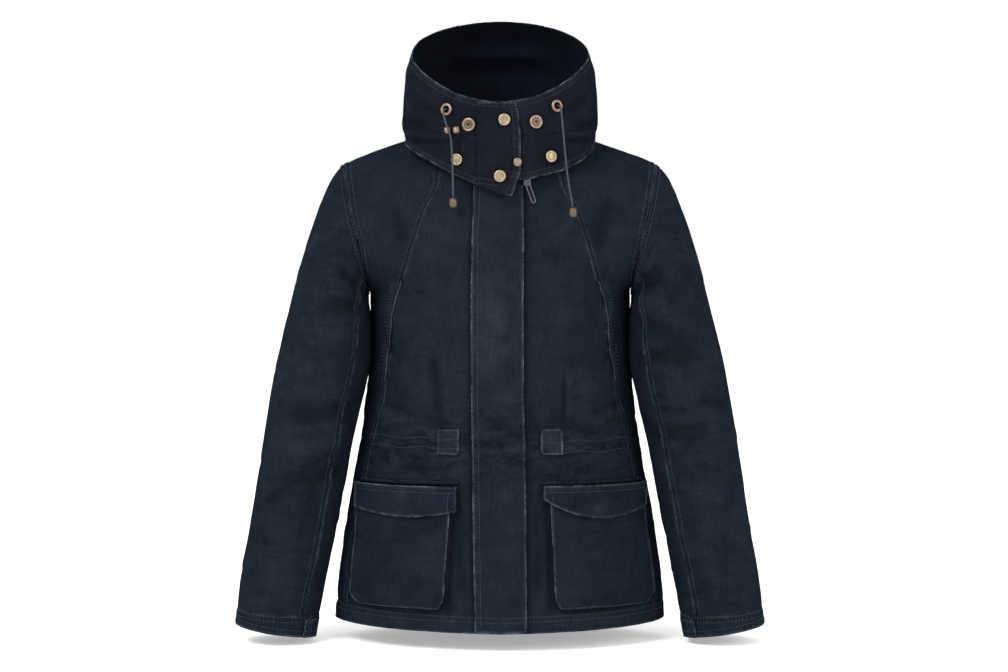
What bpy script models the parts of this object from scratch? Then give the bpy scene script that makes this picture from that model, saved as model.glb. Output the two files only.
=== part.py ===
"""A short hooded jacket in washed cotton, filled out as if worn, hollow and open at hood, cuffs and hem.

The front looks along -Y and +Z is up. The origin is at the height of the neck, on the line of the
shoulders, where a wearer's shoulders carry the garment. "Left" is the -X side, as seen from the front.
Tables are in millimetres, one row for each section; everything else is in metres.
"""

import math

import bmesh
import bpy
import numpy as np
from mathutils import Matrix, Vector

MM = 0.001
CLOTH = 2.0 * MM           # wall of the main panels
OVERLAY = 1.6 * MM         # wall of what is sewn on a panel
CLEAR = 1.0 * MM           # gap under a piece that lies on another, which its flat faces take up
SEAM_SHARE = 0.0009        # half of the gap at a seam, as a share of the body's half width
CORD_D = 2.4 * MM
TAB_CURVE = 0.238           # twice the radius of the tab's curve round the neck
POCKET_LIFT = 1.4 * MM      # gap behind a pocket
GUSSET = 3.0 * MM           # the folded bellows behind a pocket's face
WELT = 4.0                  # height of the strip above a pocket, in millimetres
SHARES = np.linspace(0, 1, 11)
BODY_ROWS = np.r_[0.004, np.arange(0.5, 12.1, 0.5)]
HALF_WIDTHS = 0.5 * (np.sin(SHARES * math.pi / 2) + SHARES) * (1 - SEAM_SHARE)
ARMPIT_ROW = 6             # the body row where the armhole closes
NECK_ROW = 3                # the front's row at the middle of the neckline
YOKE_ROW = 2               # the back's row at the middle of the neckline, and the yoke's seam

# Body sections. start_* is the middle of the body, or the neckline above row 3; end_* is the armhole or
# the side seam; round is 0 for a straight section and 1 for a quarter of an ellipse.
# Columns: start_x, start_y, start_z, end_x, end_y, end_z, round.
FRONT_ROWS = (
    (88, 12, 10, 203, 4, -31, 0.25),
    (74, -42, -9, 197, -28, -62, 0.30),
    (46, -78, -28, 189, -52, -98, 0.50),
    (0, -94, -42, 181, -60, -130, 0.62),
    (0, -103, -92, 175, -56, -160, 0.70),
    (0, -117, -147, 171, -34, -184, 0.76),
    (0, -124, -202, 169, 5, -196, 0.82),
    (0, -122, -262, 169, 5, -256, 0.86),
    (0, -112, -329, 174.5, 5, -326, 0.86),
    (0, -106, -384, 182.5, 5, -388, 0.84),
    (0, -114, -480, 197.5, 5, -474, 0.86),
    (0, -119, -556, 208.5, 5, -550, 0.88),
    (0, -120, -625, 215, 5, -621.5, 0.88),
)
BACK_ROWS = (
    (88, 12, 10, 203, 4, -31, 0.25),
    (64, 58, 2, 197, 36, -58, 0.25),
    (0, 82, -4, 189, 58, -92, 0.45),
    (0, 98, -52, 181, 64, -126, 0.60),
    (0, 112, -108, 175, 56, -158, 0.70),
    (0, 118, -160, 171, 32, -184, 0.76),
    (0, 118, -202, 169, 5, -196, 0.80),
    (0, 112, -262, 169, 5, -256, 0.84),
    (0, 100, -329, 174.5, 5, -326, 0.84),
    (0, 95, -384, 182.5, 5, -388, 0.84),
    (0, 110, -480, 197.5, 5, -474, 0.86),
    (0, 120, -556, 208.5, 5, -550, 0.88),
    (0, 124, -624, 215, 5, -621.5, 0.88),
)
# Where the curved chest seam crosses each front row, as a share of the row from the middle.
CHEST_SEAM = (0.0, 0.03, 0.16, 0.355, 0.455, 0.53, 0.585, 0.635, 0.675, 0.745, 0.78, 0.79, 0.80)

# Sleeve sections from the armhole to the cuff: the outer and inner ends of each, its middle and half depth.
SLEEVE_ROWS = (
    (203, -31, 169, -196, 4, 62),
    (219, -51, 170.5, -203, -1, 69),
    (232, -82, 169.5, -212, -8, 73),
    (245.5, -121, 167.5, -226, -18, 74),
    (258.5, -168, 166.5, -248, -25, 72),
    (274.5, -231, 167.5, -290, -28, 68),
    (289.5, -294, 178.5, -342, -27, 63),
    (301, -356, 190, -392, -25, 59),
    (313.5, -435, 202.5, -456, -26, 56),
    (324, -498, 213.5, -512, -27, 53),
    (335, -561, 225.5, -570, -27, 50),
    (340, -604, 234, -612, -28, 49),
    (342.5, -624.5, 239.5, -641, -28, 49),
)
CUFF_ROW = 11
SLEEVE_SEAM = math.radians(135)     # both long seams, measured round the sleeve from its outer side
VENT = math.radians(146)            # the cuff's slit
# Largest folds, each from one place to another: half width and height, in millimetres.
SLEEVE_FOLDS = (        # angle round the sleeve and row, at both ends
    (158, 1.3, 78, 3.0, 12, -3.0), (164, 1.8, 70, 3.9, 11, 2.6), (150, 3.2, 66, 5.0, 12, -2.2),
    (-160, 1.2, -86, 3.0, 12, -2.8), (-164, 2.0, -76, 4.2, 11, 2.4), (160, 5.4, 56, 6.2, 11, -2.8),
    (150, 6.3, 40, 6.9, 11, 2.8), (160, 7.1, 60, 7.5, 11, -2.6), (-156, 5.7, -56, 6.4, 11, -2.4),
    (-150, 6.8, -50, 7.3, 11, 2.4), (40, 1.6, 26, 4.6, 16, 2.2), (-40, 1.8, -30, 4.4, 16, 2.0),
)
BACK_FOLDS = (          # x and z at both ends
    (-128, -222, -74, -330, 22, 3.0), (128, -222, 70, -336, 22, 3.0), (-20, -150, 14, -330, 26, -2.6),
    (-92, -420, -108, -600, 22, 3.0), (24, -420, 44, -600, 24, 3.2), (108, -424, 126, -600, 20, 2.6),
    (-34, -424, -30, -600, 20, -2.6), (78, -424, 88, -600, 20, -2.4),
)
FOLD_POINTS = 6
FOLD_END = 0.28         # share of a fold over which each end fades

# Hood rings from the neck seam up to the rim: the front point, the side point and the back point.
HOOD_ROWS = (
    (-95, -36, 88, 12, 15, 81, 3),
    (-100, -28, 107, 4, 9, 112, -16),
    (-104, -12, 121.5, -2, 8, 141, -24),
    (-106, 2, 126.5, 0, 19, 163, -8),
    (-107, 14, 126, 5, 42, 176, 40),
    (-106, 26, 124.5, 8, 66, 172, 88),
    (-104, 36, 120.5, 8, 93, 151, 132),
    (-101, 45, 115, 5, 111, 121, 161),
)
HOOD_SEAM_ROW = 2.9         # where the skirt is sewn on
HOOD_BLEND_ROWS = 1.2       # rows over which the hood leaves the neckline
NECK_GAP = 0.8 * MM
HOOD_STRIP = math.radians(148)      # where the middle strip of the hood starts, from the front
# Lower edge of the skirt round the neck: degrees from the front, height at the left and at the right.
SKIRT_EDGE = ((0, -64, -50), (14, -59, -54), (26, -48, -48), (40, -34, -41), (55, -21, -29), (75, -6, -9),
              (80, -3, -5))
SKIRT_END = math.radians(74)
SKIRT_RADII = (124, 97)
SKIRT_MIDDLE_Y = -13

# Overlays on the front, as seen from the front: each row gives a height and the two edges there.
FLAP_EDGES = ((-50, -33, 28.5), (-116, -35, 30), (-203, -36, 29), (-329, -36, 30), (-384, -35, 31.5),
              (-480, -34, 33), (-624.5, -31.5, 34))
TAB_EDGES = ((44, -29, 20), (30, -29, 23.5), (0, -29, 26), (-43, -29, 26), (-60, -29, 19.5), (-73, 9, 15))
# Pocket parts: the heights of the top and bottom edges at the outer, middle and inner side.
POCKETS = {
    "left": {"side": -1, "bag": ((452, 181, 57), (583, 193, 66), (598, 158, 84)),
             "flap": (180, 53, 442, 440, 473, 480, 471), "welt": (178, 51, 436, 433)},
    "right": {"side": 1, "bag": ((452, 183, 58), (583, 199, 65), (598, 166, 82)),
              "flap": (182, 53, 442, 439, 470, 482, 455), "welt": (181, 51, 436, 434)},
}

NAVY = {"chest": (0.018, 0.0245, 0.037), "flap": (0.028, 0.037, 0.052), "sleeve": (0.019, 0.026, 0.038),
        "pocket": (0.0155, 0.020, 0.032), "hood": (0.0126, 0.0148, 0.0218), "patch": (0.030, 0.042, 0.057),
        "cord": (0.012, 0.011, 0.012)}
METAL = {"brass": (0.40, 0.32, 0.19), "old_brass": (0.20, 0.15, 0.075), "dark_metal": (0.035, 0.033, 0.032)}


# ---------------------------------------------------------------------------------------------- helpers

def rows_at(rows, at):
    """Read a table between its rows on a smooth curve; at is a row number, whole or not."""
    table = np.asarray(rows, float)
    at = np.clip(np.asarray(at, float), 0, len(table) - 1)
    low = np.minimum(np.floor(at).astype(int), len(table) - 2)
    share = (at - low)[..., None]
    before, after = table[np.maximum(low - 1, 0)], table[np.minimum(low + 2, len(table) - 1)]
    first, last = table[low], table[low + 1]
    slope_a, slope_b = (last - before) / 2, (after - first) / 2
    s2, s3 = share ** 2, share ** 3
    return ((2 * s3 - 3 * s2 + 1) * first + (s3 - 2 * s2 + share) * slope_a
            + (3 * s2 - 2 * s3) * last + (s3 - s2) * slope_b)


def unit(vectors):
    return vectors / np.maximum(np.linalg.norm(vectors, axis=-1, keepdims=True), 1e-12)


def normal_of(surface, u, v, step=2e-3):
    """Normal of a surface(u, v): it points outside where u runs to +X in front and v runs down."""
    along_u = surface(u + step, v) - surface(u - step, v)
    along_v = surface(u, v + step) - surface(u, v - step)
    return unit(np.cross(along_v, along_u))


def locate(surface, x, z, u, v):
    """The u and v where a surface passes through a given x and z, found in a few Newton steps."""
    x, z = np.asarray(x, float), np.asarray(z, float)
    u, v = np.full(x.shape, float(u)), np.full(x.shape, float(v))
    step = 1e-3
    for _ in range(14):
        here = surface(u, v)
        du = (surface(u + step, v) - here) / step
        dv = (surface(u, v + step) - here) / step
        error_x, error_z = x - here[..., 0], z - here[..., 2]
        det = du[..., 0] * dv[..., 2] - du[..., 2] * dv[..., 0]
        det = np.where(np.abs(det) < 1e-9, 1e-9, det)
        u = u + np.clip((error_x * dv[..., 2] - error_z * dv[..., 0]) / det, -0.2, 0.2)
        v = v + np.clip((error_z * du[..., 0] - error_x * du[..., 2]) / det, -1.0, 1.0)
    return u, v


def folds_at(points, lines):
    """Height of the folds at each point; each line is (points along the fold, half width, height)."""
    total = np.zeros(points.shape[:-1])
    for path, width, height in lines:
        best, along = np.ones(total.shape), np.zeros(total.shape)
        for k in range(len(path) - 1):
            step = path[k + 1] - path[k]
            share = np.clip((points - path[k]) @ step / (step @ step), 0, 1)
            away = np.linalg.norm(points - path[k] - share[..., None] * step, axis=-1)
            closer = away < best
            best = np.where(closer, away, best)
            along = np.where(closer, (k + share) / (len(path) - 1), along)
        ends = np.clip(np.minimum(along, 1 - along) / FOLD_END, 0, 1)
        total += height * ends ** 2 * (3 - 2 * ends) * np.exp(-(best / width) ** 2)
    return total


def material(name, color, roughness=0.85, metallic=0.0):
    made = bpy.data.materials.get(name) or bpy.data.materials.new(name)
    made.use_nodes = True
    shader = made.node_tree.nodes["Principled BSDF"]
    shader.inputs["Base Color"].default_value = (*color, 1.0)
    shader.inputs["Roughness"].default_value = roughness
    shader.inputs["Metallic"].default_value = metallic
    return made


def cloth_material(kind):
    return material("cotton_" + kind, NAVY[kind])


def metal_material(kind):
    return material(kind, METAL[kind], 0.42, 0.9)


def add_object(name, mesh, finish):
    thing = bpy.data.objects.new(name, mesh)
    bpy.context.scene.collection.objects.link(thing)
    mesh.materials.append(finish)
    return thing


def wall(name, outer, inner, finish):
    """A closed wall between two grids of points."""
    rows, cols = outer.shape[:2]
    mesh = bpy.data.meshes.new(name)
    made = bmesh.new()
    front_sheet, behind = [[[made.verts.new(Vector(p)) for p in line] for line in sheet]
                           for sheet in (outer, inner)]
    for sheet in (front_sheet, behind):
        for i in range(rows - 1):
            for j in range(cols - 1):
                made.faces.new((sheet[i][j], sheet[i][j + 1], sheet[i + 1][j + 1], sheet[i + 1][j]))
    for j in range(cols - 1):
        for i in (0, rows - 1):
            made.faces.new((front_sheet[i][j], front_sheet[i][j + 1], behind[i][j + 1], behind[i][j]))
    for i in range(rows - 1):
        for j in (0, cols - 1):
            made.faces.new((front_sheet[i][j], front_sheet[i + 1][j], behind[i + 1][j], behind[i][j]))
    bmesh.ops.recalc_face_normals(made, faces=made.faces)
    bmesh.ops.triangulate(made, faces=made.faces)
    made.to_mesh(mesh)
    made.free()
    mesh.shade_smooth()
    mesh.set_sharp_from_angle(angle=math.radians(40))
    return add_object(name, mesh, finish)


def turned(name, profile, seat, axis, finish, sides=14):
    """A turned piece from (radius, height) pairs in millimetres; a profile off the axis gives a ring."""
    mesh = bpy.data.meshes.new(name)
    made = bmesh.new()
    closed = profile[0][0] > 0 and profile[-1][0] > 0
    rings = []
    for radius, height in profile:
        if radius == 0:
            rings.append([made.verts.new((0, 0, height * MM))])
            continue
        angles = [math.tau * k / sides for k in range(sides)]
        rings.append([made.verts.new((radius * MM * math.cos(a), radius * MM * math.sin(a), height * MM))
                      for a in angles])
    pairs = list(zip(rings, rings[1:] + ([rings[0]] if closed else [])))
    for low, high in pairs:
        for k in range(sides if len(low) + len(high) > 2 else 0):
            n = (k + 1) % sides
            corners = [low[k % len(low)], low[n % len(low)], high[n % len(high)], high[k % len(high)]]
            made.faces.new(list(dict.fromkeys(corners)))
    bmesh.ops.recalc_face_normals(made, faces=made.faces)
    made.to_mesh(mesh)
    made.free()
    mesh.shade_smooth()
    mesh.set_sharp_from_angle(angle=math.radians(35))
    thing = add_object(name, mesh, finish)
    turn = Vector((0, 0, 1)).rotation_difference(Vector(axis)).to_matrix().to_4x4()
    thing.matrix_world = Matrix.Translation(Vector(seat)) @ turn
    return thing


def grid(u_values, v_values):
    return np.meshgrid(np.asarray(u_values, float), np.asarray(v_values, float))


def steps(low, high, count):
    return np.linspace(low, high, count)


# --------------------------------------------------------------------------------------------- surfaces

def rows_with_corner(rows, at, corner):
    """As rows_at, with a corner at one row, where the neckline or the armhole ends."""
    at = np.asarray(at, float)
    above, below = rows_at(rows[:corner + 1], np.minimum(at, corner)), rows_at(rows[corner:], at - corner)
    return np.where((at < corner)[..., None], above, below)


def body_section(rows, t, v):
    neck_row = [row[0] for row in rows].index(0)
    start_x, start_y, start_z = np.moveaxis(rows_with_corner(rows, v, neck_row), -1, 0)[:3]
    end_x, end_y, end_z = np.moveaxis(rows_with_corner(rows, v, ARMPIT_ROW), -1, 0)[3:6]
    bend = rows_at(rows, v)[..., 6]
    quarter = t * math.pi / 2
    across = (1 - bend) * t + bend * np.sin(quarter)
    deep = (1 - bend) * t + bend * (1 - np.cos(quarter))
    x = start_x + (end_x - start_x) * across
    y = start_y + (end_y - start_y) * deep
    z = start_z + (end_z - start_z) * t
    return np.stack((x, y, z), -1) * MM


def front(t, v):
    """Front of the body: t runs from the middle, 0, to the side, 1, and is negative left of the middle."""
    point = body_section(FRONT_ROWS, np.abs(t), v)
    point[..., 0] *= np.where(np.asarray(t) < 0, -1.0, 1.0)
    return point


def back(t, v):
    """Back of the body; t runs the other way, so that the normals point outwards there too."""
    point = body_section(BACK_ROWS, np.abs(t), v)
    point[..., 0] *= np.where(np.asarray(t) < 0, 1.0, -1.0)
    return point


def body_normals(surface, other, t, v):
    """Normals that the front and the back share along the side seam and the shoulder seam."""
    corner = np.where(np.abs(v - YOKE_ROW) < 0.01, YOKE_ROW, v)
    found = normal_of(surface, t, corner)
    beside = normal_of(other, -t, v)
    shared = ((np.abs(t) > 0.985) & (v >= ARMPIT_ROW - 0.01)) | (v < 0.02)
    return np.where(shared[..., None], unit(found + beside), found)


def armhole(angle):
    """The armhole's edge, +X side: 0 at the shoulder, 90 degrees in front, 180 at the armpit."""
    turn = np.mod(angle, math.tau)
    ahead = turn <= math.pi
    row = ARMPIT_ROW * np.where(ahead, turn, math.tau - turn) / math.pi
    ones = np.ones_like(row)
    behind = back(-ones, row)
    return np.where(ahead[..., None], front(ones, row), behind)


def sleeve_oval(angle, row):
    outer_x, outer_z, inner_x, inner_z, middle_y, half_y = np.moveaxis(rows_at(SLEEVE_ROWS, row), -1, 0)
    cos, sin = np.cos(angle), np.sin(angle)
    x = (outer_x + inner_x) / 2 + (outer_x - inner_x) / 2 * cos
    z = (outer_z + inner_z) / 2 + (outer_z - inner_z) / 2 * cos
    return np.stack((x, middle_y - half_y * sin, z), -1) * MM


def sleeve(angle, row):
    """Sleeve surface, +X side. Its head runs from the armhole's own edge into plain oval sections."""
    fade = np.clip(1 - np.asarray(row) / 4.5, 0, 1)[..., None]
    fade = fade ** 2 * (3 - 2 * fade)
    head = armhole(angle) - sleeve_oval(angle, np.zeros_like(row))
    return sleeve_oval(angle, row) + head * fade


def neckline(angle):
    """The body's neck edge: 0 in front, 90 degrees at the +X shoulder, 180 degrees behind."""
    turn = np.mod(angle, math.tau)
    away = np.minimum(turn, math.tau - turn) / (math.pi / 2)
    edge = np.where((away <= 1)[..., None], front(np.zeros_like(away), NECK_ROW * np.maximum(1 - away, 0)),
                    back(np.zeros_like(away), YOKE_ROW * np.maximum(away - 1, 0)))
    edge[..., 0] = np.abs(edge[..., 0]) * np.where(turn <= math.pi, 1, -1)
    return edge


def hood_ring(angle, row):
    front_y, front_z, side_x, side_y, side_z, back_y, back_z = np.moveaxis(rows_at(HOOD_ROWS, row), -1, 0)
    sin, cos = np.sin(angle), np.cos(angle)
    ahead = cos >= 0
    y = side_y - np.where(ahead, side_y - front_y, back_y - side_y) * cos
    rise = 0.5 * (1 - cos) + 0.5 * sin ** 2
    z = np.where(ahead, front_z + (side_z - front_z) * rise, side_z - (back_z - side_z) * cos)
    return np.stack((side_x * sin, y, z), -1) * MM


def hood(angle, row):
    """Hood surface from the neckline up: 0 in front, a positive angle towards +X, 180 degrees behind."""
    angle, row = np.broadcast_arrays(angle, row)
    fade = np.clip(1 - row / HOOD_BLEND_ROWS, 0, 1)[..., None]
    start = neckline(angle) + np.array((0, 0, NECK_GAP)) - hood_ring(angle, np.zeros_like(angle))
    return hood_ring(angle, row) + start * fade ** 2 * (3 - 2 * fade)


def skirt(angle, share):
    """Skirt round the neck: share 0 is its seam on the hood, 1 its free edge."""
    top = hood(angle, np.full_like(angle, HOOD_SEAM_ROW))
    edge = np.asarray(SKIRT_EDGE, float)
    degrees = np.degrees(np.abs(angle))
    left, right = (np.interp(degrees, edge[:, 0], edge[:, column]) for column in (1, 2))
    z = np.where(angle < 0, left, right)
    wide, deep = SKIRT_RADII
    low = np.stack((wide * np.sin(angle), SKIRT_MIDDLE_Y - deep * np.cos(angle), z), -1) * MM
    return top + (low - top) * share[..., None]


def mirrored(points, side):
    return points * np.array((side, 1.0, 1.0))


def sleeve_fold(angle_a, row_a, angle_b, row_b, width, height):
    share = np.linspace(0, 1, FOLD_POINTS)
    path = sleeve(np.radians(angle_a + (angle_b - angle_a) * share), row_a + (row_b - row_a) * share)
    return path, width * MM, height * MM


def back_fold(x_a, z_a, x_b, z_b, width, height):
    share = np.linspace(0, 1, FOLD_POINTS)
    guess = -0.4 * math.copysign(1, x_a + x_b)
    t, row = locate(back, (x_a + (x_b - x_a) * share) * MM, (z_a + (z_b - z_a) * share) * MM, guess, 6.0)
    return back(t, row), width * MM, height * MM


SLEEVE_LINES = [sleeve_fold(*row) for row in SLEEVE_FOLDS]
BACK_LINES = [back_fold(*row) for row in BACK_FOLDS]


# ----------------------------------------------------------------------------------------------- pieces



def chest_seam(row):
    return rows_at([(value,) for value in CHEST_SEAM], row)[..., 0]


def body_panel(name, surface, other, t, v, side, finish):
    points, normals = surface(t, v), body_normals(surface, other, t, v)
    if name == "back":
        points = points + normals * folds_at(points, BACK_LINES)[..., None]
    inner = points - normals * CLOTH
    return wall(name, mirrored(points, side), mirrored(inner, side), finish)


def build_body():
    finish = cloth_material("chest")
    for side, word in ((-1, "left"), (1, "right")):
        share, row = grid(steps(0, 1, 6), BODY_ROWS[3:])
        t = SEAM_SHARE + (chest_seam(row) - 2 * SEAM_SHARE) * share
        body_panel("front_centre_" + word, front, back, t, row, side, finish)
        share, row = grid(steps(0, 1, 7), BODY_ROWS)
        edge = np.where(row < 1.4, 0.0, chest_seam(row) + SEAM_SHARE)
        t = edge + (1 - SEAM_SHARE - edge) * np.sin(share * math.pi / 2) ** 0.9
        body_panel("front_side_" + word, front, back, t, row, side, finish)
        t, row = grid(HALF_WIDTHS, np.r_[BODY_ROWS[:4], 1.996])
        body_panel("back_yoke_" + word, back, front, t, row, -side, finish)
    t, row = grid(np.r_[-HALF_WIDTHS[:0:-1], HALF_WIDTHS], np.r_[2.004, BODY_ROWS[5:]])
    body_panel("back", back, front, t, row, 1, finish)


def sleeve_piece(name, angle, row, side, finish, lift=0.0, thick=CLOTH):
    points = sleeve(angle, row)
    outward = -normal_of(sleeve, angle, row)
    heads = (row < 0.05)[..., None]
    apart = (0.4 + 1.2 * np.maximum(np.cos(angle), 0))[..., None] * MM * np.array((1, 0, -0.3))
    height = folds_at(points, SLEEVE_LINES)[..., None]
    points = points + np.where(heads, apart, outward * height) + outward * lift
    return wall(name, mirrored(points, side), mirrored(points - outward * thick, side), finish)


def build_sleeves():
    finish = cloth_material("sleeve")
    seam_gap = 0.003
    ahead = np.r_[np.radians(np.arange(0, 135, 15)), SLEEVE_SEAM - seam_gap]
    beyond = np.r_[SLEEVE_SEAM + seam_gap, np.radians(np.arange(150, 181, 15))]
    rows = np.r_[0, 0.4, 0.8, steps(1.2, 8.6, 16), 9.2, 10.0, CUFF_ROW - 0.012]
    for side, word in ((-1, "left"), (1, "right")):
        angle, row = grid(np.r_[-ahead[:0:-1], ahead], rows)
        sleeve_piece("sleeve_upper_" + word, angle, row, side, finish)
        angle, row = grid(np.r_[beyond, math.tau - beyond[-2::-1]], rows)
        sleeve_piece("sleeve_under_" + word, angle, row, side, finish)
        angle, row = grid(steps(VENT - math.tau + 0.004, VENT - 0.004, 21), (CUFF_ROW, 12))
        sleeve_piece("cuff_" + word, angle, row, side, finish, lift=0.6 * MM, thick=2.6 * MM)
        angle, row = grid(steps(SLEEVE_SEAM, VENT + math.radians(22), 5), (11.12, 11.98))
        sleeve_piece("cuff_tab_" + word, angle, row, side, finish, lift=3.4 * MM, thick=OVERLAY)


def hood_panel(name, angle, row, finish):
    points, normals = hood(angle, row), normal_of(hood, angle, row)
    normals[..., 0] *= np.abs(np.sin(angle)) > 0.01     # the two halves meet in one plane in front
    return wall(name, points, points + unit(normals) * CLOTH, finish)


def build_hood():
    finish = cloth_material("hood")
    rows = np.r_[0.0, 0.6, steps(1.3, 7, 11)]
    around = np.r_[0.0016, np.radians(np.r_[7.5:91:7.5, 101.25, 112.5, 123.75, 135]), HOOD_STRIP - 0.002]
    for side, word in ((-1, "left"), (1, "right")):
        angle, row = grid(side * around, rows)
        hood_panel("hood_" + word, angle, row, finish)
    angle, row = grid(steps(HOOD_STRIP, math.tau - HOOD_STRIP, 8), rows)
    hood_panel("hood_centre", angle, row, finish)
    for side, word in ((-1, "left"), (1, "right")):
        angle, share = grid(side * steps(0.0016, SKIRT_END, 11), steps(0, 1, 4))
        points = skirt(angle, share)
        normals = unit(points * (1, 1, 0) - np.array((0, -10 * MM, 0)) + (0, 0, 12 * MM))
        low, high = points + normals * CLEAR, points + normals * (CLEAR + OVERLAY)
        wall("hood_skirt_" + word, high, low, finish)


def tab_surface(x, z):
    """Face of the front tab, and of what sits on it; x and z in metres."""
    lift = np.interp(-z / MM, (-46, -36, -14, 0, 60, 76), (105, 108.5, 111.5, 112.5, 116, 117))
    y = -lift * MM + x ** 2 / TAB_CURVE
    return np.stack(np.broadcast_arrays(x, y, z), -1)


def build_tab():
    edges = np.asarray(TAB_EDGES, float)
    heights = np.r_[steps(44, -43, 8), -60, -73]
    left, right = (np.interp(-heights, -edges[:, 0], edges[:, column]) for column in (1, 2))
    share = steps(0, 1, 7)
    x = (left[:, None] + (right - left)[:, None] * share) * MM
    z = np.repeat(heights[:, None], len(share), 1) * MM
    points = tab_surface(x, z)
    wall("chin_tab", points, points + np.array((0, OVERLAY, 0)), cloth_material("hood"))


def front_overlay(name, x, z, low, high, finish):
    """A wall that lies on the front panels between two heights over them; x and z in millimetres."""
    u, v = locate(front, x * MM, z * MM, 0.3 * np.sign(np.mean(x)), 7.0)
    points, normals = front(u, v), normal_of(front, u, v)
    return wall(name, points + normals * high, points + normals * low, finish)


def build_front_trim():
    edges = np.asarray(FLAP_EDGES, float)
    heights = steps(-52, -623, 22)
    left, right = (np.interp(-heights, -edges[:, 0], edges[:, column]) for column in (1, 2))
    share = steps(0, 1, 7)
    x = left[:, None] + (right - left)[:, None] * share
    t = np.where(np.abs(x) < 1e-6, 1e-6, x)
    row = np.interp(-heights, [-r[2] for r in FRONT_ROWS[3:]], range(3, 13))[:, None] + 0 * x
    width = rows_at(FRONT_ROWS, row)
    t = t / (width[..., 3] * ((1 - width[..., 6]) + width[..., 6] * math.pi / 2))
    points, normals = front(t, row), normal_of(front, np.abs(t) + 1e-9, row)
    normals[..., 0] *= np.where(t < 0, -1, 1)
    wall("storm_flap", points + normals * (CLEAR + OVERLAY), points + normals * CLEAR,
         cloth_material("flap"))
    for side, word in ((-1, "left"), (1, "right")):
        share, row = grid(steps(0, 1, 3), steps(5.35, 7.75, 9))
        t = side * (chest_seam(row) + 0.004 + 0.045 * share)
        points, normals = front(t, row), normal_of(front, t, row)
        wall("hand_welt_" + word, points + normals * (CLEAR + OVERLAY), points + normals * CLEAR,
             cloth_material("chest"))
        x, z = grid(steps(51, 79, 4) * side, steps(-367, -400, 4))
        front_overlay("waist_patch_" + word, x, z, CLEAR, CLEAR + 1.2 * MM, cloth_material("patch"))


def pocket_grid(bag, side, inset, top_z):
    """Rows of a pocket's bag: straight sides and rounded lower corners, smaller by inset millimetres."""
    (_, outer_top, inner_top), (low_z, outer_low, inner_low), (end_z, outer_end, inner_end) = bag
    heights = np.r_[steps(top_z, low_z, 6), (low_z + end_z) / 2 + 2, end_z - inset]
    bends = (top_z, low_z, end_z - 5, end_z)
    outer = np.interp(heights, bends, (outer_top, outer_low, outer_low - 8, outer_end))
    inner = np.interp(heights, bends, (inner_top, inner_low, inner_low + 6, inner_end))
    share = steps(0, 1, 9)
    x = (inner + inset)[:, None] + ((outer - inset) - (inner + inset))[:, None] * share
    return side * x, -np.repeat(heights[:, None], len(share), 1)


def build_pockets():
    finish = cloth_material("pocket")
    for word, sizes in POCKETS.items():
        side = sizes["side"]
        x, z = pocket_grid(sizes["bag"], side, 0.0, 446)
        front_overlay("pocket_gusset_" + word, x, z, POCKET_LIFT, POCKET_LIFT + GUSSET, finish)
        x, z = pocket_grid(sizes["bag"], side, 3.5, 448)
        rows, cols = x.shape
        belly = np.outer(np.sin(steps(0.15, math.pi, rows)), np.sin(steps(0, math.pi, cols)))[..., None]
        low = POCKET_LIFT + GUSSET + 0.3 * MM + 3 * MM * belly
        front_overlay("pocket_face_" + word, x, z, low, low + CLOTH, finish)
        outer, inner, top_out, top_in, low_out, low_mid, low_in = sizes["flap"]
        share = steps(0, 1, 9)
        x = side * (outer + (inner - outer) * share)
        top = top_out + (top_in - top_out) * share
        sag = low_out + (low_in - low_out) * share
        sag = sag + (low_mid - (low_out + low_in) / 2) * np.sin(math.pi * share) ** 0.8
        depth = steps(0, 1, 4)[:, None]
        z = -(top + (sag - top) * depth)
        low = (8.4 + 3.2 * depth * np.sin(math.pi * share))[..., None] * MM
        front_overlay("pocket_flap_" + word, np.repeat(x[None], 4, 0), z, low, low + OVERLAY, finish)
        outer, inner, top_out, top_in = sizes["welt"]
        x = side * (outer + (inner - outer) * share)
        top = top_out + (top_in - top_out) * share
        z = -(top + WELT * steps(0, 1, 3)[:, None])
        front_overlay("pocket_welt_" + word, np.repeat(x[None], 3, 0), z, POCKET_LIFT, POCKET_LIFT + OVERLAY,
                      finish)


# --------------------------------------------------------------------------------------------- hardware

SNAP = ((0, 0), (7.0, 0), (7.6, 0.9), (6.0, 2.0), (0, 2.0))
SOCKET = ((0, 0), (8.2, 0.2), (8.8, 1.3), (6.6, 2.2), (4.4, 1.0), (0, 1.0))
EYELET = ((4.4, 0.0), (7.9, 0.2), (6.6, 1.6), (4.4, 1.4))
RIVET = ((0, 0), (5.4, 0), (4.8, 1.4), (0, 1.9))
STOPPER = ((0, 0), (4.8, 0), (5.4, 1.4), (5.2, 9.6), (2.8, 12.6), (0, 12.6))
BARREL = ((0, 0), (3.9, 0), (4.6, 1.0), (4.6, 6.4), (3.9, 7.4), (0, 7.4))

# Name, place as seen from the front (x, z), what it sits on, profile and metal.
FASTENERS = (
    ("eyelet_left", -67, 35.5, "hood", EYELET, "old_brass"),
    ("eyelet_right", 71.5, 40, "hood", EYELET, "old_brass"),
    ("socket_left", -39, 16, "hood", SOCKET, "old_brass"),
    ("socket_right", 45, 19.5, "hood", SOCKET, "old_brass"),
    ("snap_top", 5.5, 22, "tab", SNAP, "brass"),
    ("snap_lower_left", -53, -28, "skirt", SNAP, "brass"),
    ("snap_lower_right", 63, -24, "skirt", SNAP, "brass"),
    ("snap_lower_centre", 0, -48.5, "tab", SNAP, "brass"),
    ("rivet", 22, -31, "tab", RIVET, "old_brass"),
)


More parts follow.
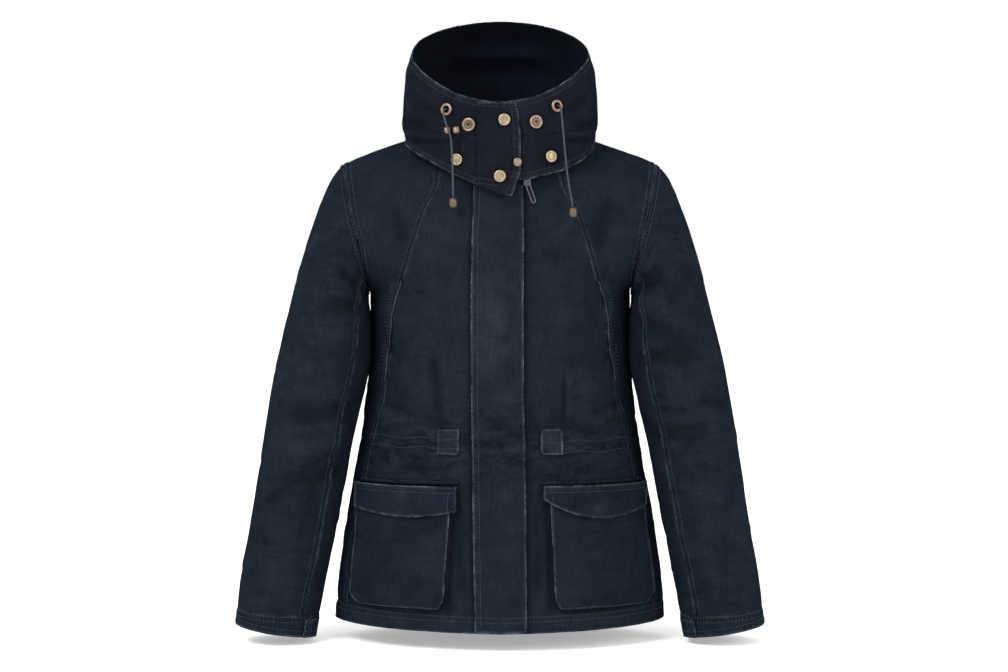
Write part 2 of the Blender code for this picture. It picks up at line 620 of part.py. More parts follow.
def seat_on(base, x, z):
    """The point and the outward normal on the outer face of what a fastener sits on."""
    x, z = x * MM, z * MM
    if base == "tab":
        return tab_surface(np.array(x), np.array(z)), unit(np.array((2 * x / TAB_CURVE, -1.0, 0.0)))
    surface, guess, lift = (hood, 5.0, 0.0) if base == "hood" else (skirt, 0.5, CLEAR + OVERLAY)
    u, v = locate(surface, x, z, math.asin(x / 0.125), guess)
    normal = normal_of(surface, u, v) * (-1 if base == "hood" else 1)
    return surface(u, v) + normal * lift, normal


def build_fasteners():
    for name, x, z, base, profile, metal in FASTENERS:
        point, normal = seat_on(base, x, z)
        turned(name, profile, point + normal * CLEAR, normal, metal_material(metal))


# Cord routes by hand, from the eyelet down to the stopper, in millimetres.
CORD_LEFT = ((-68, -89.5, 35.6), (-70, -94.5, 35.2), (-71, -99.5, 32), (-69.6, -104, 24.5), (-65.6, -108.6, 12),
             (-61.6, -110.5, 0), (-60.2, -110.5, -15), (-59.3, -110, -35), (-58.8, -110, -58), (-58.4, -110.2, -75))
CORD_RIGHT = ((73, -88.5, 40), (75.2, -93.2, 39.6), (76.6, -98, 36.2), (77.4, -102.6, 28), (78.8, -106, 13),
              (80.4, -107.4, -6), (82.4, -107, -26), (84.6, -105.4, -46), (88.4, -104.6, -70), (91.6, -104.4, -87))


def cord_points(route, spacing=0.0058):
    line = rows_at(route, steps(0, len(route) - 1, 400)) * MM
    gone = np.r_[0, np.cumsum(np.linalg.norm(np.diff(line, axis=0), axis=1))]
    marks = steps(0, gone[-1], int(gone[-1] / spacing) + 1)
    return np.stack([np.interp(marks, gone, line[:, k]) for k in range(3)], -1)


def cord(name, route):
    curve = bpy.data.curves.new(name, "CURVE")
    curve.dimensions = "3D"
    curve.bevel_depth = CORD_D / 2
    curve.bevel_resolution = 2
    curve.use_fill_caps = True
    points = cord_points(route)
    spline = curve.splines.new("POLY")
    spline.points.add(len(points) - 1)
    for place, point in zip(spline.points, points):
        place.co = (*point, 1.0)
    curve.materials.append(cloth_material("cord"))
    made = bpy.data.objects.new(name, curve)
    bpy.context.scene.collection.objects.link(made)
    return points


def build_cords():
    for word, route in (("left", CORD_LEFT), ("right", CORD_RIGHT)):
        points = cord("cord_" + word, route)
        end = points[-1] - np.array((0, 0, CLEAR))
        turned("stopper_" + word, STOPPER, end, (0.02, 0, -1), metal_material("dark_metal"), 12)
    for name, x in (("toggle_left", -69.5), ("toggle_right", -58.2)):
        turned(name, BARREL, np.array((x, -111.5 if x > -60 else -101, 8.5)) * MM, (1, 0, 0.12),
               metal_material("old_brass"), 12)


# ------------------------------------------------------------------------------------------- zip's pull

PULL_PIVOT = np.array((34.5, -101.6, -57.5)) * MM
PULL_TILT = math.radians(19.5)       # the pull leans to +X as it hangs
PULL_LENGTH = 27 * MM
PULL_WIDTH = 6.5 * MM
PULL_THICK = 1.6 * MM
PULL_BAR = 1.6 * MM          # width of the pull's frame; its upper bar turns on the hinge
SLIDER = np.array((9.0, 3.2, 13.0)) * MM


def pull_frame():
    """The pull's own frame: X along its hinge pin, Z up its length."""
    return Matrix.Translation(Vector(PULL_PIVOT)) @ Matrix.Rotation(-PULL_TILT, 4, "Y")


def plate(name, outline, hole, thick, frame, finish):
    """A flat plate with a slot, both given as equally long loops of (x, z) pairs."""
    points = [[np.array((x, y, z)) for x, z in loop] for y in (-thick / 2, thick / 2) for loop in (outline, hole)]
    rings = [points[0], points[2], points[3], points[1]]
    mesh = bpy.data.meshes.new(name)
    made = bmesh.new()
    verts = [[made.verts.new(Vector(p)) for p in ring] for ring in rings]
    for k, ring in enumerate(verts):
        after = verts[(k + 1) % 4]
        for j in range(len(ring)):
            n = (j + 1) % len(ring)
            made.faces.new((ring[j], ring[n], after[n], after[j]))
    bmesh.ops.recalc_face_normals(made, faces=made.faces)
    made.to_mesh(mesh)
    made.free()
    thing = add_object(name, mesh, finish)
    thing.matrix_world = frame
    return thing


def stadium(width, length, middle_z, sides=20):
    """Round-ended outline, upright, as (x, z) pairs."""
    radius = width / 2
    loop = []
    for k in range(sides):
        turn = math.tau * (k + 0.5) / sides
        end = (length / 2 - radius) * (1 if math.sin(turn) > 0 else -1)
        loop.append((radius * math.cos(turn), middle_z + end + radius * math.sin(turn)))
    return loop


def build_zip():
    finish = metal_material("dark_metal")
    middle = (PULL_BAR - PULL_LENGTH) / 2
    outline = stadium(PULL_WIDTH, PULL_LENGTH, middle)
    slot = stadium(PULL_WIDTH - 2 * PULL_BAR, PULL_LENGTH - 2 * PULL_BAR, middle)
    plate("zip_pull", outline, slot, PULL_THICK, pull_frame(), finish)
    mesh = bpy.data.meshes.new("zip_slider")
    made = bmesh.new()
    bmesh.ops.create_cube(made, size=1.0)
    bmesh.ops.scale(made, vec=Vector(SLIDER), verts=made.verts)
    bmesh.ops.bevel(made, geom=made.edges, offset=0.8 * MM, segments=2, affect="EDGES")
    made.to_mesh(mesh)
    made.free()
    slider = add_object("zip_slider", mesh, finish)
    slider.location = Vector(PULL_PIVOT) + Vector((0, 2.9 * MM, 3.5 * MM))


def main():
    for thing in list(bpy.data.objects):
        bpy.data.objects.remove(thing, do_unlink=True)
    build_body()
    build_sleeves()
    build_hood()
    build_tab()
    build_front_trim()
    build_pockets()
    build_fasteners()
    build_cords()
    build_zip()


main()
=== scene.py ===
"""The looks of a short hooded field jacket in washed navy cotton, filled out as if worn.

The front looks along -Y, +Z is up, "left" is the -X side. Tables are in millimetres or degrees, one row for
each section, fold or line; everything else is in metres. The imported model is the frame, and each cloth piece
here is a finer wall on its solid's own form, with the creases, puckers, stitches and wear of the real cloth.
"""
import math
import random

import bmesh
import bpy
import numpy as np
from mathutils import Matrix, Vector
from mathutils.bvhtree import BVHTree


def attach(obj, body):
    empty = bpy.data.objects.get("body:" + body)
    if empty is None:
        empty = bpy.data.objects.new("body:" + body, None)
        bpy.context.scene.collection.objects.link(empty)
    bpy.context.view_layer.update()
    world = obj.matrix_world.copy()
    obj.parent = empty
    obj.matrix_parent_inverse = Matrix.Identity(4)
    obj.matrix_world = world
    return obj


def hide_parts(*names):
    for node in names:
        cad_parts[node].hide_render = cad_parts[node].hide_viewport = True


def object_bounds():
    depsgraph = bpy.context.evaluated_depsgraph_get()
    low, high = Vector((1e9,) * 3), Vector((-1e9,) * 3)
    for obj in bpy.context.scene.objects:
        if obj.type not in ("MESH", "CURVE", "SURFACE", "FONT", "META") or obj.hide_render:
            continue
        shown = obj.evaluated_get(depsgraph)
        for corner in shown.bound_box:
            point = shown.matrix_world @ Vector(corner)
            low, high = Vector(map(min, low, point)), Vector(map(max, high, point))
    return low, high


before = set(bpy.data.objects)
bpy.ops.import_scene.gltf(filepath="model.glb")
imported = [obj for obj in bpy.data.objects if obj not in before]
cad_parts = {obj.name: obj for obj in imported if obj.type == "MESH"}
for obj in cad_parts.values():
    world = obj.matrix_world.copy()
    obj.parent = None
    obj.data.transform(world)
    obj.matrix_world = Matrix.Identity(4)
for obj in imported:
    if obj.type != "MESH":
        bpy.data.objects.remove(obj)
CAD_BOX = [list(corner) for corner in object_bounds()]

MM = 0.001
CLOTH = 1.6 * MM
OVERLAY = 1.5 * MM
CLEAR = 1.0 * MM
CORD_D = 2.4 * MM
ARMPIT_ROW = 6
NECK_ROW = 3
YOKE_ROW = 2
GAP_SHARE = 0.00005         # the cloth meets at its seams
CUFF_ROW = 11
SLEEVE_SEAM = math.radians(135)
VENT = math.radians(146)
HOOD_SEAM_ROW = 2.9
HOOD_BLEND_ROWS = 1.2
NECK_GAP = 0.8 * MM
HOOD_STRIP = math.radians(148)
SKIRT_END = math.radians(74)
SKIRT_RADII = (124, 97)
SKIRT_MIDDLE_Y = -13
TAB_CURVE = 0.238
POCKET_LIFT = 1.4 * MM
GUSSET = 3.0 * MM
WELT = 4.0
MESH_STEP = 3.4 * MM        # size of a cloth mesh's faces
PUCKER_PITCH = 4.6 * MM     # along a stitched seam

# Body sections: start_x, start_y, start_z, end_x, end_y, end_z, round.
FRONT_ROWS = (
    (88, 12, 10, 203, 4, -31, 0.25),
    (74, -42, -9, 197, -28, -62, 0.30),
    (46, -78, -28, 189, -52, -98, 0.50),
    (0, -94, -42, 181, -60, -130, 0.62),
    (0, -103, -92, 175, -56, -160, 0.70),
    (0, -117, -147, 171, -34, -184, 0.76),
    (0, -124, -202, 169, 5, -196, 0.82),
    (0, -122, -262, 169, 5, -256, 0.86),
    (0, -112, -329, 174.5, 5, -326, 0.86),
    (0, -106, -384, 182.5, 5, -388, 0.84),
    (0, -114, -480, 197.5, 5, -474, 0.86),
    (0, -119, -556, 208.5, 5, -550, 0.88),
    (0, -120, -625, 215, 5, -621.5, 0.88),
)
BACK_ROWS = (
    (88, 12, 10, 203, 4, -31, 0.25),
    (64, 58, 2, 197, 36, -58, 0.25),
    (0, 82, -4, 189, 58, -92, 0.45),
    (0, 98, -52, 181, 64, -126, 0.60),
    (0, 112, -108, 175, 56, -158, 0.70),
    (0, 118, -160, 171, 32, -184, 0.76),
    (0, 118, -202, 169, 5, -196, 0.80),
    (0, 112, -262, 169, 5, -256, 0.84),
    (0, 100, -329, 174.5, 5, -326, 0.84),
    (0, 95, -384, 182.5, 5, -388, 0.84),
    (0, 110, -480, 197.5, 5, -474, 0.86),
    (0, 120, -556, 208.5, 5, -550, 0.88),
    (0, 124, -624, 215, 5, -621.5, 0.88),
)
CHEST_SEAM = (0.0, 0.03, 0.16, 0.355, 0.455, 0.53, 0.585, 0.635, 0.675, 0.745, 0.78, 0.79, 0.80)
# Sleeve sections: outer_x, outer_z, inner_x, inner_z, middle_y, half_depth.
SLEEVE_ROWS = (
    (203, -31, 169, -196, 4, 62),
    (219, -51, 170.5, -203, -1, 69),
    (232, -82, 169.5, -212, -8, 73),
    (245.5, -121, 167.5, -226, -18, 74),
    (258.5, -168, 166.5, -248, -25, 72),
    (274.5, -231, 167.5, -290, -28, 68),
    (289.5, -294, 178.5, -342, -27, 63),
    (301, -356, 190, -392, -25, 59),
    (313.5, -435, 202.5, -456, -26, 56),
    (324, -498, 213.5, -512, -27, 53),
    (335, -561, 225.5, -570, -27, 50),
    (340, -604, 234, -612, -28, 49),
    (342.5, -624.5, 239.5, -641, -28, 49),
)
# Hood rings: front_y, front_z, side_x, side_y, side_z, back_y, back_z.
HOOD_ROWS = (
    (-95, -36, 88, 12, 15, 81, 3),
    (-100, -28, 107, 4, 9, 112, -16),
    (-104, -12, 121.5, -2, 8, 141, -24),
    (-106, 2, 126.5, 0, 19, 163, -8),
    (-107, 14, 126, 5, 42, 176, 40),
    (-106, 26, 124.5, 8, 66, 172, 88),
    (-104, 36, 120.5, 8, 93, 151, 132),
    (-101, 45, 115, 5, 111, 121, 161),
)
# Skirt's lower edge: degrees from the front, height at the left and at the right.
SKIRT_EDGE = ((0, -64, -50), (14, -59, -54), (26, -48, -48), (40, -34, -41), (55, -21, -29), (75, -6, -9),
              (80, -3, -5))
FLAP_EDGES = ((-50, -33, 28.5), (-116, -35, 30), (-203, -36, 29), (-329, -36, 30), (-384, -35, 31.5),
              (-480, -34, 33), (-624.5, -31.5, 34))
TAB_EDGES = ((44, -29, 20), (30, -29, 23.5), (0, -29, 26), (-43, -29, 26), (-60, -29, 19.5), (-73, 9, 15))
TAB_LIFT = ((-46, 105), (-36, 108.5), (-14, 111.5), (0, 112.5), (60, 116), (76, 117))
POCKETS = {
    "left": {"side": -1, "bag": ((452, 181, 57), (583, 193, 66), (598, 158, 84)),
             "flap": (180, 53, 442, 440, 473, 480, 471), "welt": (178, 51, 436, 433)},
    "right": {"side": 1, "bag": ((452, 183, 58), (583, 199, 65), (598, 166, 82)),
              "flap": (182, 53, 442, 439, 470, 482, 455), "welt": (181, 51, 436, 434)},
}
CORD_LEFT = ((-68, -89.5, 35.6), (-70, -94.5, 35.2), (-71, -99.5, 32), (-69.6, -104, 24.5), (-65.6, -108.6, 12),
             (-61.6, -110.5, 0), (-60.2, -110.5, -15), (-59.3, -110, -35), (-58.8, -110, -58), (-58.4, -110.2, -75))
CORD_RIGHT = ((73, -88.5, 40), (75.2, -93.2, 39.6), (76.6, -98, 36.2), (77.4, -102.6, 28), (78.8, -106, 13),
              (80.4, -107.4, -6), (82.4, -107, -26), (84.6, -105.4, -46), (88.4, -104.6, -70), (91.6, -104.4, -87))


# ------------------------------------------------------------------------------------- camera and the stage

CAMERA_DISTANCE = 3.2
CAMERA_PITCH = math.radians(2.98)
CAMERA_AIM = Vector((5.2, 0.0, -254.6)) * MM
FLOOR_GLOW = 0.33            # keeps the shadow as pale as the photo's
FLOOR_REACH = 14.0
CAMERA_LENS = 87.9
# Lights: name, place, aim, size, power.
LIGHTS = (("key", (-1.7, -2.3, 2.1), (0, 0, -0.25), (1.5, 1.5), 105),
          ("fill", (2.3, -2.3, 0.9), (0, 0, -0.3), (1.6, 1.6), 42))
FLOOR_Z = CAD_BOX[0][2] - 8 * MM


def build_camera():
    data = bpy.data.cameras.new("camera")
    data.lens = CAMERA_LENS
    data.sensor_width = 36.0
    data.clip_end = 50.0
    camera = bpy.data.objects.new("camera", data)
    back_off = Vector((0, -math.cos(CAMERA_PITCH), math.sin(CAMERA_PITCH))) * CAMERA_DISTANCE
    camera.location = CAMERA_AIM + back_off
    camera.rotation_euler = (math.pi / 2 - CAMERA_PITCH, 0, 0)
    bpy.context.scene.collection.objects.link(camera)
    bpy.context.scene.camera = camera


def area_light(name, place, aim, size, power):
    data = bpy.data.lights.new(name, "AREA")
    data.shape = "RECTANGLE"
    data.size, data.size_y = size
    data.energy = power
    light = bpy.data.objects.new(name, data)
    light.location = place
    light.rotation_euler = (Vector(aim) - Vector(place)).to_track_quat("-Z", "Y").to_euler()
    bpy.context.scene.collection.objects.link(light)


def build_stage():
    world = bpy.data.worlds.new("studio")
    world.use_nodes = True
    world.node_tree.nodes["Background"].inputs["Color"].default_value = (1.0, 1.0, 1.0, 1.0)
    world.node_tree.nodes["Background"].inputs["Strength"].default_value = 1.0
    bpy.context.scene.world = world
    bpy.context.scene.view_settings.view_transform = "Standard"
    mesh = bpy.data.meshes.new("floor")
    corners = [(x * FLOOR_REACH, y * FLOOR_REACH, 0) for x, y in ((-1, -1), (1, -1), (1, 1), (-1, 1))]
    mesh.from_pydata(corners, [], [(0, 1, 2, 3)])
    floor = bpy.data.objects.new("floor", mesh)
    floor.location.z = FLOOR_Z
    bpy.context.scene.collection.objects.link(floor)
    finish = bpy.data.materials.new("floor")
    finish.use_nodes = True
    shader = finish.node_tree.nodes["Principled BSDF"]
    shader.inputs["Base Color"].default_value = (0.98, 0.98, 0.98, 1)
    shader.inputs["Roughness"].default_value = 1.0
    shader.inputs["Specular IOR Level"].default_value = 0.0
    shader.inputs["Emission Color"].default_value = (1, 1, 1, 1)
    shader.inputs["Emission Strength"].default_value = FLOOR_GLOW
    mesh.materials.append(finish)
    for light in LIGHTS:
        area_light(*light)


# ------------------------------------------------------------------------------------------------ helpers

def rows_at(rows, at):
    """Read a table between its rows on a smooth curve; at is a row number, whole or not."""
    table = np.asarray(rows, float)
    at = np.clip(np.asarray(at, float), 0, len(table) - 1)
    low = np.minimum(np.floor(at).astype(int), len(table) - 2)
    share = (at - low)[..., None]
    before, after = table[np.maximum(low - 1, 0)], table[np.minimum(low + 2, len(table) - 1)]
    first, last = table[low], table[low + 1]
    slope_a, slope_b = (last - before) / 2, (after - first) / 2
    s2, s3 = share ** 2, share ** 3
    return ((2 * s3 - 3 * s2 + 1) * first + (s3 - 2 * s2 + share) * slope_a
            + (3 * s2 - 2 * s3) * last + (s3 - s2) * slope_b)


def rows_with_corner(rows, at, corner):
    """As rows_at, with a corner at one row, where the neckline or the armhole ends."""
    at = np.asarray(at, float)
    above, below = rows_at(rows[:corner + 1], np.minimum(at, corner)), rows_at(rows[corner:], at - corner)
    return np.where((at < corner)[..., None], above, below)


def unit(vectors):
    return vectors / np.maximum(np.linalg.norm(vectors, axis=-1, keepdims=True), 1e-12)


def normal_of(surface, u, v, step=2e-3):
    """Normal of a surface(u, v): it points outside where u runs to +X in front and v runs down."""
    along_u = surface(u + step, v) - surface(u - step, v)
    along_v = surface(u, v + step) - surface(u, v - step)
    return unit(np.cross(along_v, along_u))


def locate(surface, x, z, u, v):
    """The u and v where a surface passes through a given x and z, found in a few Newton steps."""
    x, z = np.asarray(x, float), np.asarray(z, float)
    u, v = np.full(x.shape, float(u)), np.full(x.shape, float(v))
    step = 1e-3
    for _ in range(14):
        here = surface(u, v)
        du = (surface(u + step, v) - here) / step
        dv = (surface(u, v + step) - here) / step
        error_x, error_z = x - here[..., 0], z - here[..., 2]
        det = du[..., 0] * dv[..., 2] - du[..., 2] * dv[..., 0]
        det = np.where(np.abs(det) < 1e-9, 1e-9, det)
        u = u + np.clip((error_x * dv[..., 2] - error_z * dv[..., 0]) / det, -0.2, 0.2)
        v = v + np.clip((error_z * du[..., 0] - error_x * du[..., 2]) / det, -1.0, 1.0)
    return u, v


def noise(points, size, seed):
    """Smooth noise from -1 to 1 over space; size is the distance between its bumps."""
    place = np.asarray(points, float) / size + 100.0
    cell = np.floor(place).astype(np.int64)
    share = place - cell
    share = share * share * (3 - 2 * share)
    total = np.zeros(place.shape[:-1])
    for corner in range(8):
        pick = np.array([(corner >> axis) & 1 for axis in range(3)])
        key = cell + pick
        mixed = key[..., 0] * 73856093 ^ key[..., 1] * 19349663 ^ key[..., 2] * 83492791 ^ (seed * 2654435761)
        mixed = (mixed ^ (mixed >> 13)) * 1274126177 & 0x7FFFFFFF
        mixed = (mixed ^ (mixed >> 15)) * 2246822519 & 0x7FFFFFFF
        value = mixed / 0x3FFFFFFF - 1.0
        weight = np.prod(np.where(pick == 1, share, 1 - share), -1)
        total += value * weight
    return total


def place_object(name, data):
    thing = bpy.data.objects.new(name, data)
    bpy.context.scene.collection.objects.link(thing)
    return thing


def steps(low, high, count):
    return np.linspace(low, high, int(count))


def grid(u_values, v_values):
    return np.meshgrid(np.asarray(u_values, float), np.asarray(v_values, float))


def mirrored(points, side):
    return points * np.array((side, 1.0, 1.0))


# ----------------------------------------------------------------------------------------------- surfaces

def body_section(rows, t, v):
    neck_row = [row[0] for row in rows].index(0)
    start_x, start_y, start_z = np.moveaxis(rows_with_corner(rows, v, neck_row), -1, 0)[:3]
    end_x, end_y, end_z = np.moveaxis(rows_with_corner(rows, v, ARMPIT_ROW), -1, 0)[3:6]
    bend = rows_at(rows, v)[..., 6]
    quarter = t * math.pi / 2
    across = (1 - bend) * t + bend * np.sin(quarter)
    deep = (1 - bend) * t + bend * (1 - np.cos(quarter))
    x = start_x + (end_x - start_x) * across
    y = start_y + (end_y - start_y) * deep
    z = start_z + (end_z - start_z) * t
    return np.stack((x, y, z), -1) * MM


def front(t, v):
    """Front of the body: t runs from the middle, 0, to the side, 1, and is negative left of the middle."""
    point = body_section(FRONT_ROWS, np.abs(t), v)
    point[..., 0] *= np.where(np.asarray(t) < 0, -1.0, 1.0)
    return point


def back(t, v):
    """Back of the body; t runs the other way, so that the normals point outwards there too."""
    point = body_section(BACK_ROWS, np.abs(t), v)
    point[..., 0] *= np.where(np.asarray(t) < 0, 1.0, -1.0)
    return point


def body_normals(surface, other, t, v):
    """Normals that the front and the back share along the side seam and the shoulder seam."""
    corner = np.where(np.abs(v - YOKE_ROW) < 0.01, YOKE_ROW, v)
    found = normal_of(surface, t, corner)
    beside = normal_of(other, -t, v)
    near_side = np.clip((np.abs(t) - 0.93) / 0.07, 0, 1) * (v >= ARMPIT_ROW - 0.01)
    near_top = np.clip((0.25 - v) / 0.25, 0, 1)
    blend = np.maximum(near_side, near_top)[..., None] * 0.5
    return unit(found * (1 - blend) + beside * blend)


def armhole(angle):
    """The armhole's edge, +X side: 0 at the shoulder, 90 degrees in front, 180 at the armpit."""
    turn = np.mod(angle, math.tau)
    ahead = turn <= math.pi
    row = ARMPIT_ROW * np.where(ahead, turn, math.tau - turn) / math.pi
    ones = np.ones_like(row)
    return np.where(ahead[..., None], front(ones, row), back(-ones, row))


def sleeve_oval(angle, row):
    outer_x, outer_z, inner_x, inner_z, middle_y, half_y = np.moveaxis(rows_at(SLEEVE_ROWS, row), -1, 0)
    cos, sin = np.cos(angle), np.sin(angle)
    x = (outer_x + inner_x) / 2 + (outer_x - inner_x) / 2 * cos
    z = (outer_z + inner_z) / 2 + (outer_z - inner_z) / 2 * cos
    return np.stack((x, middle_y - half_y * sin, z), -1) * MM


def sleeve(angle, row):
    """Sleeve surface, +X side. Its head runs from the armhole's own edge into plain oval sections."""
    angle, row = np.broadcast_arrays(angle, row)
    fade = np.clip(1 - row / 4.5, 0, 1)[..., None]
    fade = fade ** 2 * (3 - 2 * fade)
    head = armhole(angle) - sleeve_oval(angle, np.zeros_like(row))
    return sleeve_oval(angle, row) + head * fade


def neckline(angle):
    """The body's neck edge: 0 in front, 90 degrees at the +X shoulder, 180 degrees behind."""
    turn = np.mod(angle, math.tau)
    away = np.minimum(turn, math.tau - turn) / (math.pi / 2)
    edge = np.where((away <= 1)[..., None], front(np.zeros_like(away), NECK_ROW * np.maximum(1 - away, 0)),
                    back(np.zeros_like(away), YOKE_ROW * np.maximum(away - 1, 0)))
    edge[..., 0] = np.abs(edge[..., 0]) * np.where(turn <= math.pi, 1, -1)
    return edge


def hood_ring(angle, row):
    front_y, front_z, side_x, side_y, side_z, back_y, back_z = np.moveaxis(rows_at(HOOD_ROWS, row), -1, 0)
    sin, cos = np.sin(angle), np.cos(angle)
    ahead = cos >= 0
    y = side_y - np.where(ahead, side_y - front_y, back_y - side_y) * cos
    rise = 0.5 * (1 - cos) + 0.5 * sin ** 2
    z = np.where(ahead, front_z + (side_z - front_z) * rise, side_z - (back_z - side_z) * cos)
    return np.stack((side_x * sin, y, z), -1) * MM


def hood(angle, row):
    """Hood surface from the neckline up: 0 in front, a positive angle towards +X, 180 degrees behind."""
    angle, row = np.broadcast_arrays(angle, row)
    fade = np.clip(1 - row / HOOD_BLEND_ROWS, 0, 1)[..., None]
    start = neckline(angle) + np.array((0, 0, NECK_GAP)) - hood_ring(angle, np.zeros_like(angle))
    return hood_ring(angle, row) + start * fade ** 2 * (3 - 2 * fade)


def skirt(angle, share):
    """Skirt round the neck: share 0 is its seam on the hood, 1 its free edge."""
    angle, share = np.broadcast_arrays(angle, share)
    top = hood(angle, np.full_like(angle, HOOD_SEAM_ROW))
    edge = np.asarray(SKIRT_EDGE, float)
    degrees = np.degrees(np.abs(angle))
    left, right = (np.interp(degrees, edge[:, 0], edge[:, column]) for column in (1, 2))
    z = np.where(angle < 0, left, right)
    wide, deep = SKIRT_RADII
    low = np.stack((wide * np.sin(angle), SKIRT_MIDDLE_Y - deep * np.cos(angle), z), -1) * MM
    return top + (low - top) * share[..., None]


def tab_surface(x, z):
    lift = np.asarray(TAB_LIFT, float)
    y = -np.interp(-z / MM, lift[:, 0], lift[:, 1]) * MM + x ** 2 / TAB_CURVE
    return np.stack(np.broadcast_arrays(x, y, z), -1)


# ------------------------------------------------------------------------------------------------- relief

# Folds on the front: x and z of both ends, half width, height (troughs are below 0), as seen from the front.
FRONT_FOLDS = (
    (-100, -60, -60, -150, 9, 1.2), (-140, -70, -118, -150, 10, -1.6), (-60, -120, -52, -300, 12, 1.3),
    (-150, -205, -112, -255, 8, 1.8), (-158, -232, -120, -300, 7, -1.6), (-150, -270, -96, -330, 8, 1.6),
    (-168, -330, -104, -352, 6, -1.8), (-172, -348, -92, -366, 6, 1.8), (-110, -355, -52, -362, 5, -1.3),
    (-88, -250, -74, -372, 9, -1.5), (-52, -330, -46, -420, 6, 1.2), (-176, -402, -120, -418, 7, 1.8),
    (-150, -414, -84, -424, 6, -1.6), (-92, -404, -50, -432, 6, 1.4), (-58, -440, -46, -600, 8, -1.4),
    (90, -70, 66, -170, 10, 1.3), (140, -66, 120, -150, 10, -1.6), (70, -150, 84, -300, 12, 1.3),
    (150, -205, 116, -262, 8, 1.8), (160, -232, 124, -306, 7, -1.6), (146, -280, 100, -340, 8, 1.5),
    (82, -286, 81, -376, 2.4, -2.6), (88, -288, 90, -368, 4.5, 2.0), (168, -330, 108, -356, 6, -1.8),
    (172, -346, 100, -370, 6, 1.8), (104, -352, 44, -362, 5, -1.3), (56, -330, 48, -420, 6, 1.2),
    (176, -404, 118, -422, 7, 1.8), (148, -416, 84, -426, 6, -1.6), (92, -408, 46, -434, 6, 1.4),
    (50, -440, 46, -600, 7, -1.4), (-14, -90, -18, -260, 12, 1.0), (14, -150, 10, -330, 10, -1.0),
    (-24, -246, 18, -252, 5, -1.0), (-26, -262, 20, -270, 5, 1.0), (-30, -352, 22, -366, 4, -1.3),
    (-28, -372, 24, -384, 4, 1.3), (-30, -398, 22, -404, 4, -1.2), (-26, -430, 20, -440, 6, 1.0),
)
BACK_FOLDS = (
    (-128, -222, -74, -330, 22, 3.0), (128, -222, 70, -336, 22, 3.0), (-20, -150, 14, -330, 26, -2.6),
    (-92, -420, -108, -600, 22, 3.0), (24, -420, 44, -600, 24, 3.2), (108, -424, 126, -600, 20, 2.6),
    (-34, -424, -30, -600, 20, -2.6), (78, -424, 88, -600, 20, -2.4),
    (-150, -205, -104, -262, 9, 1.9), (-156, -232, -112, -306, 8, -1.7), (150, -205, 100, -270, 9, 1.9),
    (156, -236, 108, -310, 8, -1.7), (-60, -110, -30, -300, 14, 1.6), (62, -100, 34, -290, 14, -1.5),
    (-170, -346, -96, -362, 7, 1.8), (170, -350, 92, -366, 7, 1.8), (-96, -352, -20, -364, 6, -1.6),
    (98, -356, 26, -366, 6, -1.6), (-172, -404, -88, -422, 7, -1.7), (172, -402, 90, -424, 7, -1.7),
    (-84, -402, -10, -416, 6, 1.5), (84, -404, 12, -420, 6, 1.5), (-40, -70, 44, -84, 9, 1.2),
    (-128, -436, -142, -596, 12, -1.5), (-60, -440, -66, -560, 9, -1.0), (150, -440, 160, -580, 9, 1.2),
)
# Folds on a sleeve: angle and row of both ends, half width, height. Angle 0 is outside, 90 the front.
SLEEVE_FOLDS = (
    (158, 1.3, 78, 3.0, 12, -3.0), (164, 1.8, 70, 3.9, 11, 2.6), (150, 3.2, 66, 5.0, 12, -2.2),
    (-160, 1.2, -86, 3.0, 12, -2.8), (-164, 2.0, -76, 4.2, 11, 2.4), (160, 5.4, 56, 6.2, 11, -2.8),
    (150, 6.3, 40, 6.9, 11, 2.8), (160, 7.1, 60, 7.5, 11, -2.6), (-156, 5.7, -56, 6.4, 11, -2.4),
    (-150, 6.8, -50, 7.3, 11, 2.4), (40, 1.6, 26, 4.6, 16, 2.2), (-40, 1.8, -30, 4.4, 16, 2.0),
    (150, 0.7, 96, 1.9, 6, 2.2), (152, 1.0, 88, 2.4, 5, -1.6), (156, 2.6, 84, 4.0, 5, 1.4),
    (120, 0.4, 96, 1.9, 7, 1.4), (146, 4.2, 80, 5.2, 6, 1.5), (138, 5.0, 60, 5.7, 5, 1.5),
    (146, 6.6, 84, 7.1, 5, -1.6), (128, 7.4, 30, 7.9, 7, 1.6), (140, 8.0, 60, 8.6, 7, 1.5),
    (90, 7.0, 20, 7.8, 8, -1.5), (80, 8.2, 64, 10.6, 8, 1.2), (110, 8.4, 106, 10.8, 8, -1.2),
    (40, 8.4, 34, 10.6, 9, 1.1), (146, 8.8, 112, 9.8, 7, 1.4), (-150, 7.8, -80, 8.6, 7, -1.6),
    (-136, 6.2, -40, 6.9, 7, -1.5), (-90, 8.4, -84, 10.6, 10, 1.2), (-40, 8.2, -30, 10.6, 10, -1.2),
    (-146, 4.6, -64, 5.4, 7, 1.6), (-120, 0.6, -92, 2.0, 7, 1.6),
)
